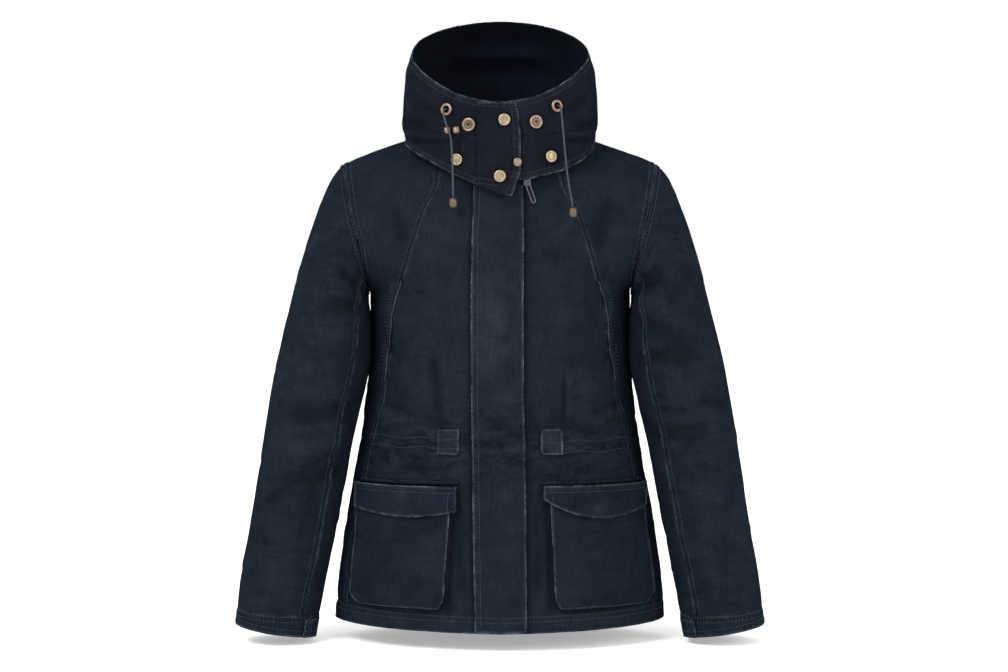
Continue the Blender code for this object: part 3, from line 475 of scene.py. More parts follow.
# Folds on the hood: angle and row of both ends, half width, height.
HOOD_FOLDS = (
    (-92, 3.6, -40, 3.3, 6, -1.8), (-84, 4.4, -52, 4.1, 7, 1.5), (-76, 5.2, -30, 4.6, 8, -1.2),
    (-36, 2.6, -32, 4.2, 5, 1.6), (-29, 2.7, -26, 3.9, 4, -1.5), (-96, 5.6, -66, 6.6, 10, 1.2),
    (90, 3.5, 44, 3.2, 6, -1.8), (86, 4.3, 58, 4.0, 7, 1.5), (70, 5.0, 36, 4.7, 8, -1.2),
    (36, 2.6, 33, 4.1, 5, 1.5), (98, 5.5, 66, 6.5, 10, 1.2), (140, 5.7, 220, 5.7, 8, -5.5),
    (132, 5.2, 228, 5.1, 9, 3.5), (150, 3.2, 210, 3.1, 9, -2.6), (120, 3.8, 160, 2.6, 9, -2.0),
    (-120, 3.8, -160, 2.6, 9, -2.0), (110, 2.6, 140, 4.4, 10, 1.8), (-110, 2.6, -140, 4.4, 10, 1.8),
)
# Folds on the skirt: angle and share of its height at both ends, half width, height.
SKIRT_FOLDS = (
    (-80, 0.75, -22, 0.10, 4.5, -2.6), (-66, 0.75, -30, 0.35, 5, 1.6), (-24.5, 0.02, -23.5, 0.5, 2.6, -2.2),
    (-21, 0.02, -20.5, 0.5, 2.4, 1.4), (34, 0.16, 66, 0.42, 4.5, -2.8), (30, 0.38, 62, 0.62, 5, 1.4),
)
FOLD_POINTS = 6
FOLD_END = 0.28             # share of a fold over which each end fades


def fold_paths():
    """Every fold as a line of points in space, with its half width and height in metres."""
    share = steps(0, 1, FOLD_POINTS)
    made = []
    for surface, rows, flip in ((front, FRONT_FOLDS, 1), (back, BACK_FOLDS, -1)):
        for x0, z0, x1, z1, width, height in rows:
            x, z = x0 + (x1 - x0) * share, z0 + (z1 - z0) * share
            u, v = locate(surface, x * MM, z * MM, 0.4 * flip * math.copysign(1, x0 + x1), 6.0)
            made.append((surface(np.clip(u, -1, 1), v), width * MM, height * MM))
    for side in (-1, 1):
        for a0, r0, a1, r1, width, height in SLEEVE_FOLDS:
            wobble = 1 + 0.13 * side * math.sin(a0 * 0.11 + r0)
            path = sleeve(np.radians(a0 + (a1 - a0) * share), (r0 + (r1 - r0) * share) * wobble)
            made.append((mirrored(path, side), width * MM, height * MM * (1 - 0.12 * side * math.cos(a0 + r1))))
    for a0, r0, a1, r1, width, height in HOOD_FOLDS:
        path = hood(np.radians(a0 + (a1 - a0) * share), r0 + (r1 - r0) * share)
        made.append((path, width * MM, height * MM))
    for a0, s0, a1, s1, width, height in SKIRT_FOLDS:
        made.append((skirt(np.radians(a0 + (a1 - a0) * share), s0 + (s1 - s0) * share), width * MM, height * MM))
    return made


def scattered_folds(surface, count, seed, u_range, v_range, lean, side=1):
    """Small soft folds at seeded places: lean is the mean angle off the vertical, in degrees, and its spread."""
    dice = random.Random(seed)
    made = []
    for _ in range(count):
        u, v = dice.uniform(*u_range), dice.uniform(*v_range)
        turn = math.radians(dice.gauss(*lean))
        length, width = dice.uniform(18, 60) * MM, dice.uniform(2.6, 5.5) * MM
        bend = dice.uniform(-0.16, 0.16)
        path = []
        for _ in range(FOLD_POINTS):
            here = surface(np.array(u), np.array(v))
            path.append(here)
            du = np.linalg.norm(surface(np.array(u + 1e-3), np.array(v)) - here) / 1e-3
            dv = np.linalg.norm(surface(np.array(u), np.array(v + 1e-3)) - here) / 1e-3
            u += math.sin(turn) * length / FOLD_POINTS / max(du, 1e-3)
            v += math.cos(turn) * length / FOLD_POINTS / max(dv, 1e-3)
            turn += bend
        height = dice.uniform(0.35, 1.0) * MM * dice.choice((-1, 1))
        made.append((mirrored(np.array(path), side), width, height))
    return made


def all_folds():
    made = fold_paths()
    made += scattered_folds(front, 90, 11, (-0.95, 0.95), (4, 12), (70, 40))
    made += scattered_folds(front, 36, 12, (-0.8, 0.8), (8.2, 9.9), (85, 12))
    made += scattered_folds(back, 80, 13, (-0.95, 0.95), (2.5, 12), (70, 40))
    made += scattered_folds(back, 30, 14, (-0.9, 0.9), (8.2, 9.9), (85, 12))
    for side, seed in ((-1, 21), (1, 22)):
        made += scattered_folds(sleeve, 90, seed, (-math.pi, math.pi), (0.6, 10.8), (62, 30), side)
    made += scattered_folds(hood, 50, 31, (-math.pi, math.pi), (0.8, 6.6), (70, 35))
    return made


FOLDS = all_folds()


def folds_at(points):
    """Height of all the folds at each point."""
    flat = points.reshape(-1, 3)
    total = np.zeros(len(flat))
    for path, width, height in FOLDS:
        low, high = path.min(0) - 2.6 * width, path.max(0) + 2.6 * width
        near = np.flatnonzero(np.all((flat > low) & (flat < high), axis=1))
        if not len(near):
            continue
        place = flat[near]
        best, along = np.full(len(near), 1.0), np.zeros(len(near))
        for k in range(len(path) - 1):
            step = path[k + 1] - path[k]
            share = np.clip((place - path[k]) @ step / max(step @ step, 1e-12), 0, 1)
            away = np.linalg.norm(place - path[k] - share[:, None] * step, axis=1)
            closer = away < best
            best = np.where(closer, away, best)
            along = np.where(closer, (k + share) / (len(path) - 1), along)
        ends = np.clip(np.minimum(along, 1 - along) / FOLD_END, 0, 1)
        total[near] += height * ends * ends * (3 - 2 * ends) * np.exp(-(best / width) ** 2)
    return total.reshape(points.shape[:-1])


def crumple(points):
    """The cloth's own unevenness, at three sizes."""
    return (0.9 * noise(points, 0.062, 1) + 0.5 * noise(points, 0.027, 2) + 0.22 * noise(points, 0.012, 3)) * MM


def edge_distances(points):
    """Distance of each grid point from the first and last column and the first and last row."""
    across = np.linalg.norm(np.diff(points, axis=1), axis=2)
    down = np.linalg.norm(np.diff(points, axis=0), axis=2)
    from_first = np.concatenate((np.zeros((points.shape[0], 1)), np.cumsum(across, 1)), 1)
    from_top = np.concatenate((np.zeros((1, points.shape[1])), np.cumsum(down, 0)), 0)
    return {"first": from_first, "last": from_first[:, -1:] - from_first,
            "top": from_top, "bottom": from_top[-1:] - from_top}


# ---------------------------------------------------------------------------------------------- materials

NAVY = {"chest": (0.0078, 0.0108, 0.0172), "flap": (0.0082, 0.0114, 0.0180), "sleeve": (0.0080, 0.0108, 0.0168),
        "pocket": (0.0072, 0.0100, 0.0165), "hood": (0.0058, 0.0070, 0.0112), "patch": (0.0100, 0.0138, 0.0200)}
WORN = (0.075, 0.100, 0.122)
FADED = (0.0170, 0.0235, 0.0325)


def add_node(tree, kind, inputs=None, **settings):
    node = tree.nodes.new(kind)
    for name, value in settings.items():
        setattr(node, name, value)
    for name, value in (inputs or {}).items():
        if isinstance(value, bpy.types.NodeSocket):
            tree.links.new(value, node.inputs[name])
        else:
            node.inputs[name].default_value = value
    return node


def math_node(tree, operation, first, second, clamp=False):
    return add_node(tree, "ShaderNodeMath", {0: first, 1: second}, operation=operation, use_clamp=clamp).outputs[0]


def mix_colors(tree, share, first, second):
    node = add_node(tree, "ShaderNodeMix", {"Factor": share}, data_type="RGBA")
    for socket, value in ((node.inputs[6], first), (node.inputs[7], second)):
        if isinstance(value, bpy.types.NodeSocket):
            tree.links.new(value, socket)
        else:
            socket.default_value = (*value, 1.0)
    return node.outputs[2]


def noise_node(tree, place, scale, detail=2.0, roughness=0.5):
    made = add_node(tree, "ShaderNodeTexNoise", {"Vector": place, "Scale": scale, "Detail": detail,
                                                 "Roughness": roughness})
    return made.outputs["Fac"]


def spread(tree, value, low, high):
    return add_node(tree, "ShaderNodeMapRange", {0: value, 1: low, 2: high, 3: 0.0, 4: 1.0}).outputs[0]


def finish_named(name):
    """A material of this name, its nodes and its shader, and whether it was made before."""
    ready = name in bpy.data.materials
    finish = bpy.data.materials[name] if ready else bpy.data.materials.new(name)
    finish.use_nodes = True
    return finish, finish.node_tree, finish.node_tree.nodes["Principled BSDF"], ready


def cloth_finish(kind):
    """Washed cotton: twill and slubs, small crumples, cloudy fading (fade, which also carries painted highlight on
    fold crests), puckered seams (attributes pucker and run), wrinkles (crease), pale worn edges (wear) and painted
    shade (shade). Wrinkles and puckers get painted shade in their troughs; wrinkle crests get painted highlight,
    pucker crests paler wear and painted highlight."""
    finish, tree, shader, ready = finish_named("washed_" + kind)
    if ready:
        return finish

    def attribute(key):
        return add_node(tree, "ShaderNodeAttribute", attribute_name=key).outputs["Fac"]

    def times(first, second, clamp=False):
        return math_node(tree, "MULTIPLY", first, second, clamp)

    def plus(first, second, clamp=False):
        return math_node(tree, "ADD", first, second, clamp)

    place = add_node(tree, "ShaderNodeTexCoord").outputs["Object"]
    warp = add_node(tree, "ShaderNodeMapping", {"Vector": place, "Scale": (1.0, 1.0, 0.10)}).outputs[0]
    base = NAVY[kind]

    def tone(gain):
        return tuple(c * gain for c in base)

    clouds = spread(tree, noise_node(tree, place, 15.0, 5.0, 0.62), 0.34, 0.68)
    streaks = spread(tree, noise_node(tree, warp, 330.0, 4.0, 0.7), 0.34, 0.66)
    grain = spread(tree, noise_node(tree, place, 620.0, 2.0, 0.6), 0.30, 0.70)
    color = mix_colors(tree, clouds, tone(0.74), tone(1.16))
    color = mix_colors(tree, times(streaks, 0.42), color, tone(1.75))
    color = mix_colors(tree, times(grain, 0.30), color, tone(0.42))
    flat = add_node(tree, "ShaderNodeMapping", {"Vector": place, "Scale": (1.0, 1.0, 2.3)}).outputs[0]
    crease = attribute("crease")
    rolls = noise_node(tree, flat, 30.0, 3.0, 0.55)
    sharp = math_node(tree, "ABSOLUTE", plus(times(noise_node(tree, flat, 24.0, 4.0, 0.6), 2.0), -1.0), 0)
    lines = math_node(tree, "SUBTRACT", 1.0, times(sharp, 7.0), True)
    crumples = math_node(tree, "SUBTRACT", rolls, times(lines, 0.22))
    # painted shade in the small wrinkles' troughs and painted highlight on their crests, over their bump
    low = times(spread(tree, crumples, 0.44, 0.22), crease, True)
    high = times(spread(tree, crumples, 0.50, 0.72), crease, True)
    color = mix_colors(tree, times(low, 0.80), color, tone(0.42))
    color = mix_colors(tree, times(high, 0.55), color, tone(1.9))
    blotch = spread(tree, noise_node(tree, place, 70.0, 5.0, 0.7), 0.32, 0.70)
    fade = times(attribute("fade"), plus(times(blotch, 0.8), plus(times(streaks, 0.5), 0.15)), True)
    color = mix_colors(tree, fade, color, FADED)
    # painted shade, from the attribute shade
    color = mix_colors(tree, times(attribute("shade"), 0.9, True), color, tone(0.45))
    phase = times(noise_node(tree, place, 40.0, 2.0, 0.5), 9.0)
    wave = math_node(tree, "SINE", plus(times(attribute("run"), math.tau / PUCKER_PITCH), phase), 0)
    pucker = attribute("pucker")
    broken = spread(tree, noise_node(tree, place, 120.0, 3.0, 0.6), 0.36, 0.62)
    # pucker crests paler, part wear and part painted highlight; troughs darker, painted shade
    crest = times(times(pucker, math_node(tree, "MAXIMUM", wave, 0)), broken, True)
    trough = times(times(pucker, math_node(tree, "MAXIMUM", times(wave, -1.0), 0)), plus(broken, 0.25), True)
    color = mix_colors(tree, times(crest, 0.50), color, tone(2.5))
    color = mix_colors(tree, times(trough, 0.60), color, tone(0.42))
    flecks = spread(tree, noise_node(tree, place, 300.0, 4.0, 0.7), 0.36, 0.60)
    wear = times(attribute("wear"), plus(times(flecks, 0.9), 0.22), True)
    color = mix_colors(tree, wear, color, WORN)
    tree.links.new(color, shader.inputs["Base Color"])
    shader.inputs["Roughness"].default_value = 0.92
    shader.inputs["Specular IOR Level"].default_value = 0.0
    shader.inputs["Sheen Weight"].default_value = 0.004
    shader.inputs["Sheen Roughness"].default_value = 0.5
    shader.inputs["Sheen Tint"].default_value = (0.70, 0.80, 1.0, 1.0)
    twill = add_node(tree, "ShaderNodeTexWave", {"Vector": place, "Scale": 330.0, "Distortion": 1.2,
                                                 "Detail": 2.0, "Detail Scale": 1.5}, bands_direction="DIAGONAL")
    normal = None
    for height, strength, depth in ((noise_node(tree, place, 90.0, 5.0, 0.65), 0.9, 0.0026),
                                    (times(crumples, crease), 1.0, 0.0052),
                                    (times(wave, pucker), 0.9, 0.0009), (streaks, 0.5, 0.0005),
                                    (twill.outputs["Fac"], 0.5, 0.00018), (grain, 0.5, 0.0003)):
        inputs = {"Height": height, "Strength": strength, "Distance": depth}
        if normal is not None:
            inputs["Normal"] = normal
        normal = add_node(tree, "ShaderNodeBump", inputs).outputs[0]
    tree.links.new(normal, shader.inputs["Normal"])
    return finish


def metal_finish(name, bright, dark, roughness):
    """Aged metal: bright where it is rubbed, dark in the recesses and in patches."""
    finish, tree, shader, ready = finish_named("aged_" + name)
    if ready:
        return finish
    place = add_node(tree, "ShaderNodeTexCoord").outputs["Object"]
    patch = spread(tree, noise_node(tree, place, 520.0, 5.0, 0.65), 0.36, 0.64)
    shade = add_node(tree, "ShaderNodeAttribute", attribute_name="shade").outputs["Fac"]
    share = math_node(tree, "MAXIMUM", math_node(tree, "MULTIPLY", patch, 0.55), shade, True)
    tree.links.new(mix_colors(tree, share, bright, dark), shader.inputs["Base Color"])
    shader.inputs["Metallic"].default_value = 0.92
    shader.inputs["Roughness"].default_value = roughness
    bump = add_node(tree, "ShaderNodeBump", {"Height": noise_node(tree, place, 1400.0, 3.0), "Strength": 0.35,
                                             "Distance": 0.0001})
    tree.links.new(bump.outputs[0], shader.inputs["Normal"])
    return finish


def plain_finish(name, color, roughness, scale, depth):
    """Cord or thread: a fine uneven surface in one colour with lighter and darker fibres."""
    finish, tree, shader, ready = finish_named(name)
    if ready:
        return finish
    place = add_node(tree, "ShaderNodeTexCoord").outputs["Object"]
    fibre = noise_node(tree, place, scale, 3.0)
    tree.links.new(mix_colors(tree, spread(tree, fibre, 0.3, 0.7), tuple(c * 0.6 for c in color),
                              tuple(c * 1.5 for c in color)), shader.inputs["Base Color"])
    shader.inputs["Roughness"].default_value = roughness
    bump = add_node(tree, "ShaderNodeBump", {"Height": fibre, "Strength": 0.6, "Distance": depth})
    tree.links.new(bump.outputs[0], shader.inputs["Normal"])
    return finish


# ------------------------------------------------------------------------------------------- cloth pieces

EDGE_MARKS = np.array((0, 0.7, 1.4, 2.1, 2.9, 3.9, 5.1, 6.3, 7.4, 8.2, 9.1, 10.6, 12.8)) * MM
FIRST_LINE, SECOND_LINE = 2.1 * MM, 8.2 * MM        # topstitching, from the edge
SPOTS = (       # faded places on the front: x, z, half width and half height in mm, strength
    (-4, -238, 26, 48, 0.85), (-12, -272, 22, 20, 0.6), (6, -452, 9, 9, 0.55), (6, -612, 9, 9, 0.55),
    (-18, -160, 14, 40, 0.35), (8, -330, 20, 14, 0.4), (-56, -372, 10, 12, 0.5), (62, -378, 12, 12, 0.45),
    (-120, -455, 10, 8, 0.5), (122, -470, 10, 8, 0.5), (-150, -215, 14, 10, 0.25), (150, -215, 14, 10, 0.25),
    (-100, -110, 30, 40, 0.16), (-70, -300, 22, 40, 0.2), (80, -560, 30, 20, 0.15), (-80, -540, 26, 20, 0.15),
)
# How strongly the small wrinkles show in each cloth, in their bump and in their painted shade and highlight.
CREASES = {"chest": 0.28, "flap": 0.26, "sleeve": 0.38, "hood": 0.18, "pocket": 0.34, "patch": 0.5}
PUCKER_SHARE = {"hood": 0.35, "flap": 0.75, "pocket": 0.6}
STITCHES = {}               # area name: list of stitch paths, each an array of points and one of normals
PANELS = {}                 # node name: its grid of points and of outward normals
FORMS = []                  # vertices and faces of every cloth piece, for placing what is sewn on them


def even_marks(length):
    """Shares from 0 to 1, close together near both edges, where seams and stitches run."""
    if length < 2.4 * EDGE_MARKS[-1]:
        return steps(0, 1, max(4, math.ceil(length / (1.7 * MM)) + 1))
    count = math.ceil((length - 2 * EDGE_MARKS[-1]) / MESH_STEP) + 1
    middle = steps(EDGE_MARKS[-1], length - EDGE_MARKS[-1], max(count, 2))
    return np.r_[EDGE_MARKS[:-1], middle, length - EDGE_MARKS[-2::-1]] / length


def along(line, low, high):
    """Values from low to high, spaced by even_marks along line(values)."""
    fine = steps(low, high, 500)
    gone = np.r_[0, np.cumsum(np.linalg.norm(np.diff(line(fine), axis=0), axis=1))]
    return np.interp(even_marks(gone[-1]) * gone[-1], gone, fine)


def stitched_relief(distance, points, kind):
    """Height, wear and puckering near one edge."""
    ripple = noise(points, 0.0088, 5) + 0.6 * noise(points, 0.0048, 6)
    patchy = np.clip(0.5 + 0.8 * noise(points, 0.010, 7) + 0.5 * noise(points, 0.0035, 8), 0, 1.3)

    def bump(centre, width):
        return np.exp(-((distance - centre) / (width * MM)) ** 2)

    edge = bump(0, 1.6)
    if kind == "plain":
        return -0.7 * MM * bump(0, 1.2), 0.22 * patchy * edge, 0 * edge
    if kind == "double":
        height = (-0.55 * edge + 0.5 * bump(5.1 * MM, 2.0) - 0.42 * bump(FIRST_LINE, 0.8)
                  - 0.42 * bump(SECOND_LINE, 0.9) + 0.55 * ripple * bump(5 * MM, 6.5))
        wear = patchy * (0.42 * bump(0.6 * MM, 1.0) + 0.10 * bump(5.1 * MM, 1.9) + 0.10 * bump(9.2 * MM, 0.9))
        pucker = 1.3 * bump(5.4 * MM, 3.8)
    elif kind == "hem":
        wide = 21 * MM
        step = 0.5 - 0.5 * np.tanh((distance - wide) / (1.8 * MM))
        height = 0.6 * step - 0.45 * bump(wide, 1.4) - 0.45 * bump(wide - 6.3 * MM, 1.2)
        height = height + 0.75 * ripple * bump(wide, 8) + 0.4 * ripple * bump(0, 6)
        wear = patchy * (0.80 * bump(0, 1.3) + 0.14 * bump(wide - 2.6 * MM, 1.8) + 0.06 * bump(10 * MM, 7))
        pucker = 0.7 * bump(wide - 4 * MM, 5.0) + 0.4 * bump(4 * MM, 5)
    elif kind == "turned":
        height = 0.25 * bump(0, 3) - 0.4 * bump(FIRST_LINE, 0.8) + 0.35 * ripple * bump(2 * MM, 5)
        wear = patchy * (0.85 * bump(0, 1.3) + 0.1 * bump(3.2 * MM, 1.0))
        pucker = 0.5 * bump(2.6 * MM, 2.6)
    else:
        height = (0.3 * bump(5 * MM, 3) - 0.4 * bump(FIRST_LINE, 0.8) - 0.4 * bump(SECOND_LINE, 0.9)
                  + 0.5 * ripple * bump(5 * MM, 6))
        wear = patchy * (0.95 * bump(0, 1.3) + 0.10 * bump(4.6 * MM, 1.9))
        pucker = 0.85 * bump(5.2 * MM, 3.4)
    return height * MM, wear, pucker


LINES_OF = {"plain": (), "double": (FIRST_LINE, SECOND_LINE), "hem": (14.7 * MM, 21 * MM), "open": (),
            "turned": (FIRST_LINE,), "turned_double": (FIRST_LINE, SECOND_LINE)}


def line_at(grid_points, grid_normals, distances, edge, offset, trim):
    """The line that runs at an offset from one edge of a grid, as points and normals."""
    rows = edge in ("first", "last")
    made_points, made_normals = [], []
    for k in range(grid_points.shape[0] if rows else grid_points.shape[1]):
        gone = distances[edge][k] if rows else distances[edge][:, k]
        line = grid_points[k] if rows else grid_points[:, k]
        beside = grid_normals[k] if rows else grid_normals[:, k]
        order = np.argsort(gone)
        if gone[order[-1]] < offset * 1.5:
            continue
        made_points.append([np.interp(offset, gone[order], line[order, axis]) for axis in range(3)])
        made_normals.append([np.interp(offset, gone[order], beside[order, axis]) for axis in range(3)])
    points, normals = np.array(made_points), unit(np.array(made_normals))
    gone = np.r_[0, np.cumsum(np.linalg.norm(np.diff(points, axis=0), axis=1))]
    keep = (gone >= trim) & (gone <= gone[-1] - trim)
    return points[keep], normals[keep]


def turn_faces_out(mesh):
    made = bmesh.new()
    made.from_mesh(mesh)
    bmesh.ops.recalc_face_normals(made, faces=made.faces)
    made.to_mesh(mesh)
    made.free()


def wall_mesh(name, outer, inner, attributes, finish):
    """A closed wall between two grids of points, with a value of each attribute at each outer point."""
    rows, cols = outer.shape[:2]
    count = rows * cols
    index = np.arange(count).reshape(rows, cols)
    quads = np.stack((index[:-1, :-1], index[:-1, 1:], index[1:, 1:], index[1:, :-1]), -1).reshape(-1, 4)
    faces = [quads, quads[:, ::-1] + count]
    for edge in (index[0], index[:, -1], index[-1, ::-1], index[::-1, 0]):
        faces.append(np.stack((edge[1:], edge[:-1], edge[:-1] + count, edge[1:] + count), -1))
    faces = np.concatenate(faces)
    points = np.concatenate((outer.reshape(-1, 3), inner.reshape(-1, 3)))
    mesh = bpy.data.meshes.new(name)
    mesh.from_pydata(points.tolist(), [], faces.tolist())
    for key, values in attributes.items():
        both = np.concatenate((values.ravel(), 0 * values.ravel()))
        mesh.attributes.new(key, "FLOAT", "POINT").data.foreach_set("value", both.astype(np.float32))
    turn_faces_out(mesh)
    mesh.shade_smooth()
    mesh.set_sharp_from_angle(angle=math.radians(60))
    mesh.materials.append(finish)
    FORMS.append((points, faces))
    return place_object(name, mesh)


def painted_shade_places(x, z, node):
    """Painted shade on the garment's front, from 0 to 1: painted shadow beside the storm flap, round the pockets,
    under their flaps and round the fasteners."""
    shade = np.zeros(x.shape)
    if node.startswith(("hood", "chin")):
        for _, at_x, at_z, _, profile, _ in FASTENERS:
            away = np.hypot(x - at_x, z - at_z) / (max(r for r, _, _ in profile) + 2.0)
            shade = np.maximum(shade, 0.9 / (1 + away ** 10))
    if node.startswith("front"):
        edges = np.asarray(FLAP_EDGES, float)
        for column, reach in ((1, 4.5), (2, 7.0)):
            edge = np.interp(-z, -edges[:, 0], edges[:, column])
            shade = np.maximum(shade, 0.95 * np.exp(-((x - edge) / reach) ** 2) * (z < -60))
        for sizes in POCKETS.values():
            (top_z, outer_top, inner_top), (low_z, outer_low, inner_low), (end_z, _, _) = sizes["bag"]
            out = np.interp(-z, (top_z, low_z), (outer_top, outer_low))
            inside = np.interp(-z, (top_z, low_z), (inner_top, inner_low))
            across = x * sizes["side"]
            along_z = np.clip((-z - top_z + 14) / 6, 0, 1) * np.clip((end_z + 4 + z) / 8, 0, 1)
            beside = np.exp(-((across - inside + 2.5) / 5) ** 2) + np.exp(-((across - out - 1) / 4) ** 2)
            shade = np.maximum(shade, 0.8 * beside * along_z)
            above = np.exp(-((-z - sizes["flap"][2] + 3) / 4.5) ** 2) * (across > inside - 4) * (across < out + 2)
            shade = np.maximum(shade, 0.8 * above)
    return shade


def cloth(node, points, outward, kind, edges, thick=CLOTH, lift=0.0, loose=1.0, held="hung", rests_on=(),
          bulge=0.0, trim=1.5 * MM, marks=None, deep=0.0, taper=()):
    """One cloth piece over a CAD node: points is its base surface, lift the height of its inner face over it
    for what lies on a panel; a panel's outer face is the base surface itself."""
    distances = edge_distances(points)
    folds = folds_at(points)
    height = (folds + crumple(points)) * loose + bulge
    patchy = np.clip(0.5 + 0.9 * noise(points, 0.017, 9), 0, 1.2)
    wear = 0.02 * patchy
    run, pucker = np.zeros_like(wear), np.zeros_like(wear)
    for edge, finish in edges.items():
        if finish == "open":
            continue
        more, rubbed, gathered = stitched_relief(distances[edge], points, finish)
        height, wear = height + more, np.maximum(wear, rubbed)
        run = np.where(gathered > pucker, distances["top" if edge in ("first", "last") else "first"], run)
        pucker = np.maximum(pucker, gathered * PUCKER_SHARE.get(kind, 1.0))
    for edge in taper:      # runs out flat, where a layer is caught in a seam
        height = height - (thick - 0.5 * MM) * np.exp(-(distances[edge] / (4 * MM)) ** 2)
    # paler on fold crests: abrasion wear and painted highlight
    fade = 0.22 * patchy * np.clip((folds - 0.2 * MM) / (2 * MM), 0, 1)
    if points[..., 1].mean() < 0 and node.split("_")[0] not in ("hood", "sleeve", "cuff"):
        for x, z, wide, tall, strength in SPOTS:
            away = ((points[..., 0] / MM - x) / wide) ** 2 + ((points[..., 2] / MM - z) / tall) ** 2
            fade = np.maximum(fade, strength * np.exp(-away))
    if marks is not None:
        height, wear, fade = marks(points, height, wear, fade)
    outer_lift = lift + thick if lift else 0.0
    outer = points + outward * (outer_lift + height)[..., None]
    calm = (folds + crumple(points)) * loose + bulge
    inner = points + outward * (outer_lift - thick + np.minimum(calm, height))[..., None]
    # shade is painted shade: darker in fold troughs, plus deep, the painted shade a caller gives (under the arms,
    # sleeve undersides, pocket gussets and welts), plus painted shadows near the front's flaps, pockets and fasteners
    shade = np.clip(np.clip(-(folds + 0.2 * MM) / (2 * MM), 0, 0.75) + deep, 0, 1)
    if points[..., 1].mean() < 0:
        shade = np.maximum(shade, painted_shade_places(points[..., 0] / MM, points[..., 2] / MM, node))
    # crease: strength of the small wrinkles' bump and of their painted shade and highlight, stronger round the waist
    crease = CREASES.get(kind, 0.5) * np.ones(points.shape[:2])
    if kind in ("chest", "flap"):
        crease = crease + 0.7 * np.exp(-((points[..., 2] / MM + 392) / 38) ** 2)
    piece = wall_mesh("cloth_" + node, outer, inner, {"wear": wear, "fade": fade, "shade": shade,
                      "run": run, "pucker": pucker, "crease": crease}, cloth_finish(kind))
    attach(piece, "garment")
    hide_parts(node)
    PANELS[node] = (points, outward)
    for edge, finish in edges.items():
        for offset in LINES_OF[finish]:
            path = line_at(points, outward, distances, edge, offset, trim)
            if len(path[0]) > 3:
                STITCHES.setdefault(node.rsplit("_", 1)[0] if node.endswith(("left", "right")) else node,
                                    []).append(path)
    return piece


def chest_seam(row):
    return rows_at([(value,) for value in CHEST_SEAM], row)[..., 0]


def build_body():
    for side, word in ((-1, "left"), (1, "right")):
        rows = along(lambda v: front(np.full_like(v, side * 0.2), v), 1.5, 12.0)
        share = along(lambda s: front(side * 0.745 * s, np.full_like(s, 9.0)), 0, 1)
        share, row = grid(share, rows)
        t = side * (GAP_SHARE + (chest_seam(row) - 2 * GAP_SHARE) * share)
        cloth("front_centre_" + word, front(t, row), body_normals(front, back, t, row), "chest",
              {"last": "plain", "bottom": "hem"})
        rows = along(lambda v: front(np.full_like(v, side * 0.85), v), 0.001, 12.0)
        share = along(lambda s: front(side * (0.6 + 0.4 * s), np.full_like(s, 7.0)), 0, 1)
        share, row = grid(share, rows)
        edge = np.interp(row, (0, 1, 1.5), (0, 0, 1)) * (chest_seam(np.maximum(row, 1.5)) + GAP_SHARE)
        t = side * np.maximum(edge + (1 - GAP_SHARE - edge) * share, 1e-7)
        # painted shade on the sides, under the arms
        deep = 0.7 * np.clip((np.abs(t) - 0.86) / 0.14, 0, 1) * np.exp(-((row - 7.2) / 2.6) ** 2)
        cloth("front_side_" + word, front(t, row), body_normals(front, back, t, row), "chest", deep=deep, edges=
              {"first": "double", "last": "double", "top": "plain", "bottom": "hem"})
        rows = along(lambda v: back(np.full_like(v, 0.6), v), 0.001, 1.9995)
        share = along(lambda s: back(s, np.full_like(s, 1.0)), 0, 1)
        share, row = grid(share, rows)
        t = -side * (GAP_SHARE + (1 - 2 * GAP_SHARE) * share)
        cloth("back_yoke_" + word, back(t, row), body_normals(back, front, t, row), "chest",
              {"first": "plain", "last": "double", "top": "double", "bottom": "double"})
    rows = along(lambda v: back(np.full_like(v, 0.3), v), 2.0005, 12.0)
    t = along(lambda s: back(s, np.full_like(s, 7.0)), -1 + GAP_SHARE, 1 - GAP_SHARE)
    t, row = grid(t, rows)
    cloth("back", back(t, row), body_normals(back, front, t, row), "chest",
          {"first": "double", "last": "double", "top": "plain", "bottom": "hem"})


def sleeve_cloth(node, side, angles, rows, edges, **more):
    angle, row = grid(angles, rows)
    points = sleeve(angle, row)
    outward = -normal_of(sleeve, angle, row)
    apart = (0.4 + 1.2 * np.maximum(np.cos(angle), 0)) * np.clip(1 - row / 0.05, 0, 1)
    points = points + apart[..., None] * MM * np.array((1, 0, -0.3))
    # painted shade on the sleeve's underside, facing the body, lighter towards the cuff
    turned_in = np.clip((-0.35 - np.cos(angle)) / 0.5, 0, 1) * np.where(np.sin(angle) > -0.5, 1, 0.5)
    deep = 0.8 * turned_in * np.clip(1.25 - row / CUFF_ROW, 0.35, 1)
    return cloth(node, mirrored(points, side), mirrored(outward, side), "sleeve", edges, deep=deep, **more)


